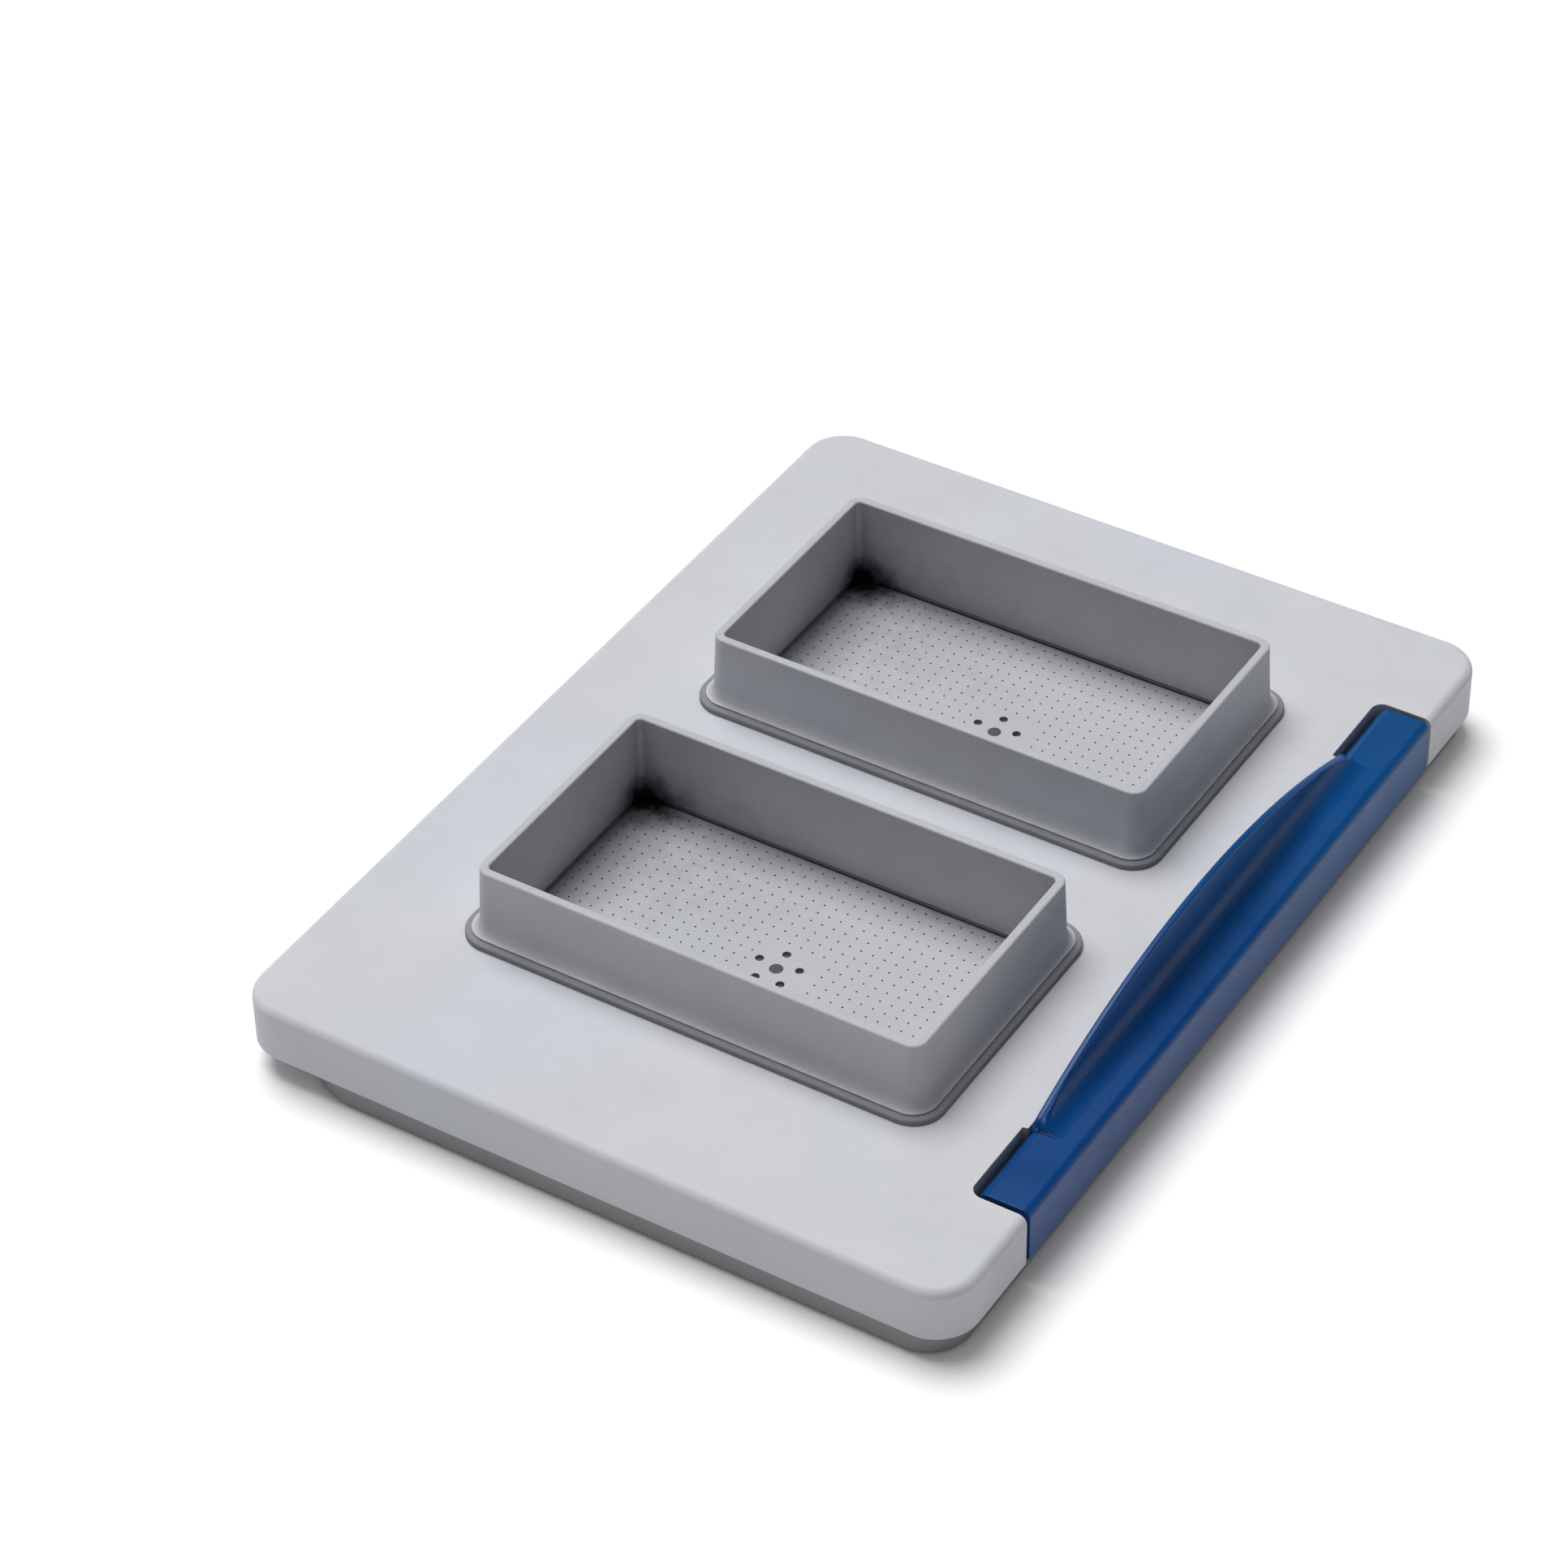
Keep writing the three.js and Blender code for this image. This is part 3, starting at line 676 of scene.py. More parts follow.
def drawnSteel(name, look):
    material, tree, shader = startMaterial(name)
    stretched = addNode(tree, "ShaderNodeMapping")
    wire(tree, stretched, Vector=millimetres(tree), Scale=look["lineStretch"])
    lines = noiseNode(tree, stretched.outputs[0], 1.0, 4.0, 0.6)
    spots = noiseNode(tree, millimetres(tree), 0.8, 3.0, 0.6)
    wear = placeGroup(tree, edgeWear, width=look["shadingAndWearWidth"], amount=look["wear"], breakup=1.0)
    tint = mixColour(tree, rangeNode(tree, spots, 0.35, 0.65), look["colour"], look["darker"])
    bright = mixColour(tree, wear["mask"], tint, look["edgeWearAndShadeColour"])
    rough = rangeNode(tree, lines, 0.3, 0.7, *look["roughness"])
    wire(tree, shader, Base_Color=bright, Roughness=rough, Metallic=1.0)
    addBump(tree, shader, lines, look["drawLines"], look["lineDepth"])
    return material


looks = {
    "plate_plastic": plateLook, "well_plastic": wellLook, "floor_plastic": floorLook,
    "grid_plastic": gridLook, "base_plastic": baseLook, "latch_plastic": latchLook,
    "seal_rubber": sealLook, "collar_rubber": collarLook, "foot_rubber": footLook,
}
finishes = {finish: mouldedPlastic(oneWord(finish), look) for finish, look in looks.items()}
finishes["pin_steel"] = drawnSteel("pinSteel", pinLook)
print("finishes made:", len(finishes))


def feed(tree, kind, setting=(), **sources):
    node = wire(tree, addNode(tree, "GeometryNode" + kind, **dict(setting)), **sources)
    return next(socket for socket in node.outputs if socket.type == "GEOMETRY")


def joinShapes(tree, *shapes):
    node = addNode(tree, "GeometryNodeJoinGeometry")
    for shape in shapes:
        tree.links.new(shape, node.inputs[0])
    return node.outputs[0]


# The end of every tree: moved into place, made real, given its finish.
def closeTree(tree, geometry, given, result):
    move = feed(tree, "Transform", Geometry=geometry, Translation=given["Centre"])
    real = feed(tree, "RealizeInstances", Geometry=move)
    finish = feed(tree, "SetMaterial", Geometry=real, Material=given["Finish"])
    tree.links.new(finish, result["Geometry"])


def grow(name, tree, values, helpers):
    made = addObject(name, bpy.data.meshes.new(name))
    change = made.modifiers.new(tree.name, "NODES")
    change.node_group = tree
    names = {item.name: item.identifier for item in tree.interface.items_tree if item.in_out == "INPUT"}
    for label, value in values.items():
        change[names[label]] = value
    settle(made)
    for helper in helpers:
        bpy.data.objects.remove(helper)
    return faceOutwards(made)


# Runs a profile round a rectangle with rounded corners.
def makeFrameTree():
    tree, given, result = startGroup("profiledFrame", "GeometryNodeTree", [
        ("Geometry", "Geometry"),
        ("Length", "Float"), ("Width", "Float"), ("Corner", "Float"), ("Corner Steps", "Int"),
        ("Profile", "Object"), ("Centre", "Vector"), ("Finish", "Material"),
    ], [("Geometry", "Geometry")])
    path = feed(tree, "CurvePrimitiveQuadrilateral", Width=given["Length"], Height=given["Width"])
    corners = feed(
        tree, "FilletCurve", {"mode": "POLY"},
        Curve=path, Count=given["Corner Steps"], Radius=given["Corner"],
    )
    upright = feed(tree, "SetCurveNormal", {"mode": "Z_UP"}, Curve=corners)
    shape = feed(tree, "ObjectInfo", Object=given["Profile"])
    profile = feed(tree, "MeshToCurve", Mesh=shape)
    swept = feed(tree, "CurveToMesh", Curve=upright, Profile_Curve=profile)
    closeTree(tree, swept, given, result)
    return tree


# A sheet of repeated cells, each with an opening, inside a plain border.
# The cells that the drain patch covers are left out.
def makeSheetTree():
    tree, given, result = startGroup("perforatedSheet", "GeometryNodeTree", [
        ("Geometry", "Geometry"),
        ("Cell", "Object"), ("Border", "Object"),
        ("Columns", "Int"), ("Rows", "Int"), ("Pitch X", "Float"), ("Pitch Y", "Float"),
        ("Patch Centre", "Vector"), ("Patch Half", "Float"),
        ("Thickness", "Float"), ("Centre", "Vector"), ("Finish", "Material"),
    ], [("Geometry", "Geometry")])
    reachX = times(tree, mathNode(tree, "SUBTRACT", given["Columns"], 1), given["Pitch X"])
    reachY = times(tree, mathNode(tree, "SUBTRACT", given["Rows"], 1), given["Pitch Y"])
    points = feed(
        tree, "MeshGrid",
        Size_X=reachX, Size_Y=reachY, Vertices_X=given["Columns"], Vertices_Y=given["Rows"],
    )
    place = addNode(tree, "GeometryNodeInputPosition")
    away = splitVector(tree, vectorNode(tree, "SUBTRACT", place.outputs[0], given["Patch Centre"]))
    inside = [
        mathNode(tree, "LESS_THAN", mathNode(tree, "ABSOLUTE", away[axis]), given["Patch Half"])
        for axis in (0, 1)
    ]
    kept = feed(
        tree, "DeleteGeometry", {"domain": "POINT"},
        Geometry=points, Selection=times(tree, *inside),
    )
    cell = feed(tree, "ObjectInfo", Object=given["Cell"])
    copies = feed(tree, "InstanceOnPoints", Points=kept, Instance=cell)
    cells = feed(tree, "RealizeInstances", Geometry=copies)
    border = feed(tree, "ObjectInfo", Object=given["Border"])
    together = joinShapes(tree, cells, border)
    welded = feed(tree, "MergeByDistance", Geometry=together, Distance=sameSpot)
    drop = addNode(tree, "ShaderNodeCombineXYZ")
    tree.links.new(times(tree, given["Thickness"], -1.0), drop.inputs[2])
    lower = feed(
        tree, "ExtrudeMesh", {"mode": "FACES"},
        Mesh=welded, Offset=drop.outputs[0], Offset_Scale=1.0, Individual=False,
    )
    closed = joinShapes(tree, lower, welded)
    whole = feed(tree, "MergeByDistance", Geometry=closed, Distance=sameSpot)
    closeTree(tree, whole, given, result)
    return tree


frameTree = makeFrameTree()
sheetTree = makeSheetTree()


# A flat face between closed loops, the outermost first.
def fillBetween(name, loops):
    flat = bmesh.new()
    for loop in loops:
        corners = [flat.verts.new((x, y, 0.0)) for x, y in loop]
        for i, corner in enumerate(corners):
            flat.edges.new((corner, corners[(i + 1) % len(corners)]))
    bmesh.ops.triangle_fill(flat, use_beauty=True, use_dissolve=False, edges=flat.edges[:], normal=(0, 0, 1))
    mesh = bpy.data.meshes.new(name)
    flat.to_mesh(mesh)
    flat.free()
    return mesh


# The upper leaf's plate, with the hinge and the latch that it is shaped round
plateHigh = nodeBox("top_plate")[1]
latchLow, latchHigh = nodeBox("latch_bar")
gridLow, gridHigh = nodeBox("support_grid_front")
hingeJoint, latchJoint = frame["record"]["behaviour"]["joints"]

plate = {
    "corner": 8.0,
    "topEdge": 1.7,
    "lowEdge": 0.35,
    "skin": 2.6,
    "skirt": 2.2,
    "skirtBottom": 4.8,
    "bayGap": 1.05,
    "bayEndGap": 0.9,
    "bayCorner": 2.2,
    "bayWall": 1.7,
    "shelfCorner": 0.6,
    "shelfGap": 0.5,  # between the shelf and the lip
    "wellSeat": 0.05,
    "softEdge": 0.16,
}
hinge = {
    "pinRadius": 1.0,
    "pinGap": 0.1,
    "lugLength": 8.0,
    "lugRadius": 2.5,
    "knuckleLength": 6.0,
    "reach": 2.6,
}
latchPin = {"radius": 0.8, "gap": 0.1, "inTab": 6.5, "inPlate": 1.9}
latch = {
    "tabLength": 16.2,
    "skin": 2.8,
    "wall": 2.4,
    "edge": 1.6,
    "barrel": 2.2,
    "lowEdge": 0.35,
    "innerCorner": 1.15,
    "lipInset": 0.4,  # of the lip's inner face from the tabs' edge
    "lipThickness": 1.3,
    "lipHalf": 55.0,
    "lipEndStep": 1.2,
    "lipRound": 0.45,
    "scoopRadius": 4.6,
    "scoopInset": 0.12,
    "toeDepth": 1.0,
    "toeBottom": 5.2,
    "toeHeight": 1.5,
    "toeHalf": 60.0,
    "softEdge": 0.2,
}

hingeX, hingeZ = hingeJoint["pos_m"][0] / toMetres, hingeJoint["pos_m"][2] / toMetres
latchAxisX, latchAxisZ = latchJoint["pos_m"][0] / toMetres, latchJoint["pos_m"][2] / toMetres
plateX, plateY, plateTop = plateHigh.x, plateHigh.y, plateHigh.z
plateUnder = plateTop - plate["skin"]
bayX = latchLow.x - plate["bayGap"]
bayY = latchHigh.y + plate["bayEndGap"]
tabInner = latchHigh.y - latch["tabLength"]
lipX = latchLow.x + latch["lipInset"]
past = 6.0  # how far a cutting shape runs past what it cuts
overlap = 1.0  # and how far where there is less room, or where two shapes join

well = {
    "innerX": 83.6,
    "innerY": 46.6,
    "wall": 1.7,
    "corner": 1.0,
    "draft": 0.5,
    "footSpread": 2.0,
    "footRise": 3.2,
    "footLip": 0.3,
    "rimRound": 0.4,
    "cornerSteps": 12,
    "collarSpread": 3.2,
    "collarRound": 0.35,
}


def wellCentre(end):
    return middleOf("well_frame_" + end)


def wellBlock(name, centre, margin, z0, z1):
    halfX, halfY = well["innerX"] / 2 + margin, well["innerY"] / 2 + margin
    area = (centre.x - halfX, centre.x + halfX, centre.y - halfY, centre.y + halfY)
    return slab(name, area, [well["corner"] + margin] * 4, z0, z1)


def hingeBore(end, margin):
    low, high = nodeBox("hinge_pin_" + end)
    radius = hinge["pinRadius"] + hinge["pinGap"]
    return barAlongY("bore", radius, hingeX, hingeZ, low.y - margin, high.y + margin, 32)


# Deeper beside the latch's tabs than along its lip, where a shelf fills the space.
def bayBlock(margin, z0, z1):
    area = (bayX - margin, plateX + past, -bayY - margin, bayY + margin)
    bay = slab("bay", area, [plate["bayCorner"] + margin] * 4, z0, z1)
    shelfX = lipX - plate["shelfGap"] - margin
    shelfY = tabInner - plate["shelfGap"] - margin
    area = (bayX - margin - past, shelfX, -shelfY, shelfY)
    corner = max(plate["shelfCorner"] - margin, plate["shelfCorner"] / 2)
    return cutAway(bay, slab("shelf", area, [corner] * 4, z0 - overlap, z1 + overlap))


def makeTopPlate():
    area = (-plateX, plateX, -plateY, plateY)
    corner = plate["corner"]
    body = slab(
        "topPlate", area, [corner] * 4, plate["skirtBottom"], plateTop,
        plate["topEdge"], plate["lowEdge"], roundSteps=9, cornerSteps=18,
    )
    wall = plate["skirt"]
    within = (-plateX + wall, plateX - wall, -plateY + wall, plateY - wall)
    hollow = slab("hollow", within, [corner - wall] * 4, plate["skirtBottom"] - past, plateUnder)
    cutAway(hollow, bayBlock(plate["bayWall"], plate["skirtBottom"] - 2 * past, plateUnder + past))
    margin = well["wall"] + plate["wellSeat"]
    wells = [
        wellBlock("opening", wellCentre(end), margin, plateUnder - past, plateTop + past)
        for end in ends
    ]
    cutAway(body, hollow, bayBlock(0.0, plate["skirtBottom"] - past, plateTop + past), *wells)
    knuckles = []
    for end in ends:
        low, high = nodeBox("hinge_pin_" + end)
        for y0, y1 in ((low.y, low.y + hinge["knuckleLength"]), (high.y - hinge["knuckleLength"], high.y)):
            hanging = block(
                "knuckle", -plateX + wall / 2, hingeX + hinge["reach"], y0, y1,
                hingeZ, plateUnder + plate["skin"] / 2,
            )
            knuckles.append(joinTo(hanging, barAlongY("round", hinge["lugRadius"], hingeX, hingeZ, y0, y1)))
    joinTo(body, *knuckles)
    bores = [hingeBore(end, past / 2) for end in ends]
    reach = bayY + latchPin["inPlate"] + latchPin["gap"]
    radius = latchPin["radius"] + latchPin["gap"]
    bores.append(barAlongY("bore", radius, latchAxisX, latchAxisZ, -reach, reach, 24))
    cutAway(body, *bores)
    return softenEdges(body, plate["softEdge"])


finishPiece(makeTopPlate(), "upper_leaf", "top_plate", "plate_plastic")
print("plate made")


# The wells, their collars and their seals
seal = {"width": 1.65, "round": 0.22}


# An unfilled outline for the frame tree: distance out from the inner face, and height.
def profileObject(name, corners):
    mesh = bpy.data.meshes.new(name)
    count = len(corners)
    mesh.from_pydata(
        [(out, -height, 0.0) for out, height in corners],
        [(i, (i + 1) % count) for i in range(count)],
        [],
    )
    return addObject(name, mesh)


def wellProfile():
    low, high = nodeBox("well_frame_front")
    rim, wall, edge = high.z, well["wall"], well["rimRound"]
    seat = nodeBox("well_collar_front")[1].z + plate["wellSeat"]
    corners = [(0.0, low.z)]
    corners += arc(edge, rim - edge, edge, math.pi, -quarterTurn, 5)
    corners += arc(wall - edge, rim - edge, edge, quarterTurn, -quarterTurn, 5)
    foot = well["footRise"] - well["footLip"]
    spread = well["footSpread"] - well["draft"]
    steps = 9
    for i in range(steps + 1):
        turn = quarterTurn * i / steps
        out = wall + well["draft"] + spread * (1 - math.cos(turn))
        corners.append((out, seat + well["footLip"] + foot * (1 - math.sin(turn))))
    corners += [(wall + well["footSpread"], seat), (wall, seat), (wall, low.z)]
    return corners


def sealProfile():
    low, high = nodeBox("well_gasket_front")
    width, edge = seal["width"], seal["round"]
    centres = (
        (edge, high.z - edge, math.pi),
        (width - edge, high.z - edge, quarterTurn),
        (width - edge, low.z + edge, 0.0),
        (edge, low.z + edge, -quarterTurn),
    )
    return [corner for x, z, start in centres for corner in arc(x, z, edge, start, -quarterTurn, 3)]


def collarProfile():
    low, high = nodeBox("well_collar_front")
    inner, outer = well["wall"] + plate["wellSeat"], well["wall"] + well["collarSpread"]
    edge = well["collarRound"]
    corners = [(inner, low.z), (inner, high.z)]
    corners += arc(outer - edge, high.z - edge, edge, quarterTurn, -quarterTurn, 4)
    corners.append((outer, low.z))
    return corners


def sweepRound(name, corners, centre, finish):
    helper = profileObject("profile", corners)
    made = grow(name, frameTree, {
        "Length": well["innerX"],
        "Width": well["innerY"],
        "Corner": well["corner"],
        "Corner Steps": well["cornerSteps"],
        "Profile": helper,
        "Centre": (centre.x, centre.y, 0.0),
        "Finish": finishes[finish],
    }, [helper])
    return softenEdges(made, 0.0)


wellPieces = (
    ("Frame", "frame", wellProfile(), "well_plastic"),
    ("Collar", "collar", collarProfile(), "collar_rubber"),
    ("Seal", "gasket", sealProfile(), "seal_rubber"),
)
for end in ends:
    for kind, nodeKind, profile, finish in wellPieces:
        shape = sweepRound("well" + kind + end.title(), profile, wellCentre(end), finish)
        finishPiece(shape, "upper_leaf", "well_" + nodeKind + "_" + end, finish)
print("wells made")


# The floors and the grids under them
floor = {
    "pitch": 2.3,
    "holeRadius": 0.2,
    "holeSides": 8,
    "columns": 36,
    "rows": 20,
    "patchCells": 5,
    "patchCentre": (3.45, -3.45),  # from the middle of the well
    "drainCentre": (2.6, -3.2),
    "drainRadius": 4.0,
    "drainCentreHole": 1.25,
    "drainFlare": 0.9,  # how much wider the centre hole is on the underside
    "drainOuterHole": 0.8,
    "drainCount": 5,
    "drainTurn": 95,
    "corner": 2.3,
}
grid = {
    "columns": 7,
    "rows": 3,
    "rib": 1.6,
    "holeCorner": 0.8,
    "softEdge": 0.15,
}


# A rectangle with a point at every corner and half way between cells' corners.
def steppedRectangle(halfX, halfY, stepX, stepY, centre=(0.0, 0.0)):
    across, along = round(2 * halfX / stepX), round(2 * halfY / stepY)
    loop = [(-halfX + i * stepX, -halfY) for i in range(across)]
    loop += [(halfX, -halfY + i * stepY) for i in range(along)]
    loop += [(halfX - i * stepX, halfY) for i in range(across)]
    loop += [(-halfX, halfY - i * stepY) for i in range(along)]
    return [(x + centre[0], y + centre[1]) for x, y in loop]


# The plain edge of a sheet, from the node's outline in to the cells.
def sheetBorder(node, insideX, insideY, stepX, stepY):
    low, high = nodeBox(node)
    halfX, halfY = (high.x - low.x) / 2, (high.y - low.y) / 2
    outer = roundedRing((-halfX, halfX, -halfY, halfY), [floor["corner"]] * 4, 8)
    inner = steppedRectangle(insideX, insideY, stepX, stepY)
    return addObject("border", fillBetween("border", [outer, inner]))


def growSheet(node, cell, border, finish, values):
    low, high = nodeBox(node)
    return grow(oneWord(node), sheetTree, {
        "Cell": cell,
        "Border": border,
        "Thickness": high.z - low.z,
        "Centre": ((low.x + high.x) / 2, (low.y + high.y) / 2, high.z),
        "Finish": finishes[finish],
        **values,
    }, [cell, border])


def floorCell():
    half = floor["pitch"] / 2
    ring = steppedRectangle(half, half, half, half)
    hole = circle(0, 0, floor["holeRadius"], floor["holeSides"], -1.5 * quarterTurn)
    sides = len(ring)
    points = [(x, y, 0.0) for x, y in ring + hole]
    faces = [(i, (i + 1) % sides, sides + (i + 1) % sides, sides + i) for i in range(sides)]
    return addObject("cell", meshFrom("cell", points, faces))


# One larger hole with a ring of others round it.
def drainPatch():
    half = floor["pitch"] / 2
    reach = floor["patchCells"] * half
    loops = [steppedRectangle(reach, reach, half, half, floor["patchCentre"])]
    x, y = floor["drainCentre"]
    loops.append(circle(x, y, floor["drainCentreHole"], 20))
    turn = math.radians(floor["drainTurn"])
    for holeX, holeY in circle(x, y, floor["drainRadius"], floor["drainCount"], turn):
        loops.append(circle(holeX, holeY, floor["drainOuterHole"], 16))
    return fillBetween("patch", loops)


def floorBorder(node):
    half = floor["pitch"] / 2
    border = sheetBorder(node, floor["columns"] * half, floor["rows"] * half, half, half)
    patch = drainPatch()
    whole = bmesh.new()
    whole.from_mesh(border.data)
    whole.from_mesh(patch)
    whole.to_mesh(border.data)
    whole.free()
    bpy.data.meshes.remove(patch)
    return border


def makeFloor(node):
    low, high = nodeBox(node)
    made = growSheet(node, floorCell(), floorBorder(node), "floor_plastic", {
        "Columns": floor["columns"],
        "Rows": floor["rows"],
        "Pitch X": floor["pitch"],
        "Pitch Y": floor["pitch"],
        "Patch Centre": (*floor["patchCentre"], 0.0),
        "Patch Half": floor["patchCells"] * floor["pitch"] / 2,
    })
    x = (low.x + high.x) / 2 + floor["drainCentre"][0]
    y = (low.y + high.y) / 2 + floor["drainCentre"][1]
    # the lower rim of the centre hole is drawn outwards
    wider = 1 + floor["drainFlare"] / floor["drainCentreHole"]
    for corner in made.data.vertices:
        away = Vector((corner.co.x - x, corner.co.y - y))
        if away.length < floor["drainCentreHole"] + sameSpot and corner.co.z < low.z + sameSpot:
            corner.co.x, corner.co.y = x + away.x * wider, y + away.y * wider
    return softenEdges(made, 0.0)


def makeGrid(node):
    pitchX, pitchY = well["innerX"] / grid["columns"], well["innerY"] / grid["rows"]
    halfX, halfY = pitchX / 2, pitchY / 2
    outer = steppedRectangle(halfX, halfY, halfX, halfY)
    openX, openY = halfX - grid["rib"] / 2, halfY - grid["rib"] / 2
    hole = roundedRing((-openX, openX, -openY, openY), [grid["holeCorner"]] * 4, 3)
    cell = addObject("cell", fillBetween("cell", [outer, hole]))
    border = sheetBorder(node, well["innerX"] / 2, well["innerY"] / 2, halfX, halfY)
    made = growSheet(node, cell, border, "grid_plastic", {
        "Columns": grid["columns"],
        "Rows": grid["rows"],
        "Pitch X": pitchX,
        "Pitch Y": pitchY,
        "Patch Centre": (0.0, 0.0, 0.0),
        "Patch Half": 0.0,
    })
    return softenEdges(made, grid["softEdge"], 1)


for end in ends:
    finishPiece(makeFloor("floor_sheet_" + end), "lower_leaf", "floor_sheet_" + end, "floor_plastic")
    finishPiece(makeGrid("support_grid_" + end), "lower_leaf", "support_grid_" + end, "grid_plastic")
print("floors made")


# The lower leaf's tray
base = {
    "flangeTop": 4.5,
    "flangeEdge": 0.45,
    "hingeSideCorner": 14.0,
    "latchSideCorner": 8.0,
    "flangeLeft": -61.4,
    "plinthLeft": -61.2,
    "plinthRight": 56.85,
    "plinthHalf": 93.2,
    "plinthCorner": 4.0,
    "deckEdge": 0.6,
    "deckThickness": 2.0,
    "wall": 2.2,
    "brace": 1.8,
    "windowMargin": 1.4,
    "ledge": 1.6,
    "seat": 0.05,
    "railWidth": 4.2,
    "railGap": 0.3,
    "railHalf": 64.0,
    "railTop": 9.4,
    "lugBelow": 1.8,
    "lugAbove": 2.0,
    "padBoss": 7.4,
    "padGap": 0.1,
    "padRecess": 1.1,
    "softEdge": 0.2,
}


def makeBaseTray():
    low, high = nodeBox("base_tray")
    deck = gridHigh.z
    flangeArea = (base["flangeLeft"], high.x, low.y, high.y)
    left, right = base["hingeSideCorner"], base["latchSideCorner"]
    tray = slab(
        "baseTray", flangeArea, (left, right, right, left), low.z, base["flangeTop"],
        base["flangeEdge"], base["flangeEdge"], roundSteps=5, cornerSteps=18,
    )

    def plinth(name, inset, z0, z1, edge=0.0):
        area = (
            base["plinthLeft"] + inset, base["plinthRight"] - inset,
            -base["plinthHalf"] + inset, base["plinthHalf"] - inset,
        )
        corners = (left - inset, base["plinthCorner"], base["plinthCorner"], left - inset)
        return slab(name, area, corners, z0, z1, edge, cornerSteps=18)

    joinTo(tray, plinth("plinth", 0.0, base["flangeTop"] - overlap, deck, base["deckEdge"]))
    railX = plateX - latch["wall"] - latch["toeDepth"] - base["railGap"]
    joinTo(tray, block(
        "rail", railX - base["railWidth"], railX,
        -base["railHalf"], base["railHalf"], base["flangeTop"] - overlap, base["railTop"],
    ))
    for end in ends:
        pinLow, pinHigh = nodeBox("hinge_pin_" + end)
        middle = (pinLow.y + pinHigh.y) / 2
        y0, y1 = middle - hinge["lugLength"] / 2, middle + hinge["lugLength"] / 2
        arm = block(
            "arm", hingeX, base["plinthLeft"] + base["wall"] / 2, y0, y1,
            hingeZ - base["lugBelow"], hingeZ + base["lugAbove"],
        )
        joinTo(arm, barAlongY("eye", hinge["lugRadius"], hingeX, hingeZ, y0, y1))
        joinTo(tray, arm)

    hollow = plinth("hollow", base["wall"], low.z - past, deck - base["deckThickness"])
    half, surround = base["brace"] / 2, base["windowMargin"] + base["brace"]
    heights = (low.z - 2 * past, deck + past)
    solids = [block("braceY", -half, half, low.y - past, high.y + past, *heights)]
    for end in ends:
        centre = wellCentre(end)
        solids.append(wellBlock("surround", centre, surround, *heights))
        reach = (low.x - past, high.x + past, centre.y - half, centre.y + half)
        solids.append(block("braceX", *reach, *heights))
    for name in footNodes:
        spot = middleOf(name)
        solids.append(postUp("boss", base["padBoss"], spot.x, spot.y, *heights))
    for shape in solids:
        cutAway(hollow, shape)
    cutAway(tray, hollow)

    for end in ends:
        centre, margin = wellCentre(end), base["windowMargin"]
        cutAway(tray, wellBlock("window", centre, margin, gridLow.z - base["seat"], deck + past))
        cutAway(tray, wellBlock("throat", centre, margin - base["ledge"], low.z - past, deck + past))
        cutAway(tray, hingeBore(end, overlap))
    for name in footNodes:
        spot, (footLow, footHigh) = middleOf(name), nodeBox(name)
        radius = (footHigh.x - footLow.x) / 2 + base["padGap"]
        cutAway(tray, postUp("pocket", radius, spot.x, spot.y, low.z - past, low.z + base["padRecess"]))
    return softenEdges(tray, base["softEdge"])


finishPiece(makeBaseTray(), "lower_leaf", "base_tray", "base_plastic")
print("base made")


# The feet and the pins
foot = {
    "edge": 0.35,
    "rim": 0.1,
    "dish": 0.25,
    "dishRadius": 2.6,
    "dishSlope": 0.5,
    "grooves": (3.2, 3.9),  # radius where each one starts
    "groove": ((0.0, 0.0), (0.1, 0.12), (0.3, 0.12), (0.4, 0.0)),  # steps outwards and up
}
pinChamfer = 0.22


def makeFoot(node):
    low, high = nodeBox(node)
    centre = (low + high) / 2
    radius, edge = (high.x - low.x) / 2, foot["edge"]
    dish = foot["dishRadius"]
    profile = [(0.0, low.z + foot["dish"]), (dish - foot["dishSlope"], low.z + foot["dish"]), (dish, low.z)]
    for ring in foot["grooves"]:
        profile += [(ring + out, low.z + up) for out, up in foot["groove"]]
    profile += arc(radius - edge, low.z + edge, edge, -quarterTurn, quarterTurn, 4)
    profile += [(radius, high.z - foot["rim"]), (radius - foot["rim"], high.z), (0.0, high.z)]
    made = turned(oneWord(node), profile, 48, lambda x, y, h: (centre.x + x, centre.y + y, h))
    return softenEdges(faceOutwards(made), 0.0)


def makePin(node):
    low, high = nodeBox(node)
    centre = (low + high) / 2
    radius = (high.z - low.z) / 2
    profile = [
        (0.0, low.y), (radius - pinChamfer, low.y), (radius, low.y + pinChamfer),
        (radius, high.y - pinChamfer), (radius - pinChamfer, high.y), (0.0, high.y),
    ]
    made = turned(oneWord(node), profile, 32, lambda x, z, h: (centre.x + x, h, centre.z + z))
    return softenEdges(faceOutwards(made), 0.0)


for node in footNodes:
    finishPiece(makeFoot(node), "lower_leaf", node, "foot_rubber")
for end in ends:
    for kind, body in (("hinge_pin_", "lower_leaf"), ("latch_pin_", "upper_leaf")):
        finishPiece(makePin(kind + end), body, kind + end, "pin_steel")
print("feet and pins made")


# The latch bar
def alongY(name, section, y0, y1):
    return faceOutwards(loft(name, [[(x, y, z) for x, z in section] for y in (y0, y1)]))


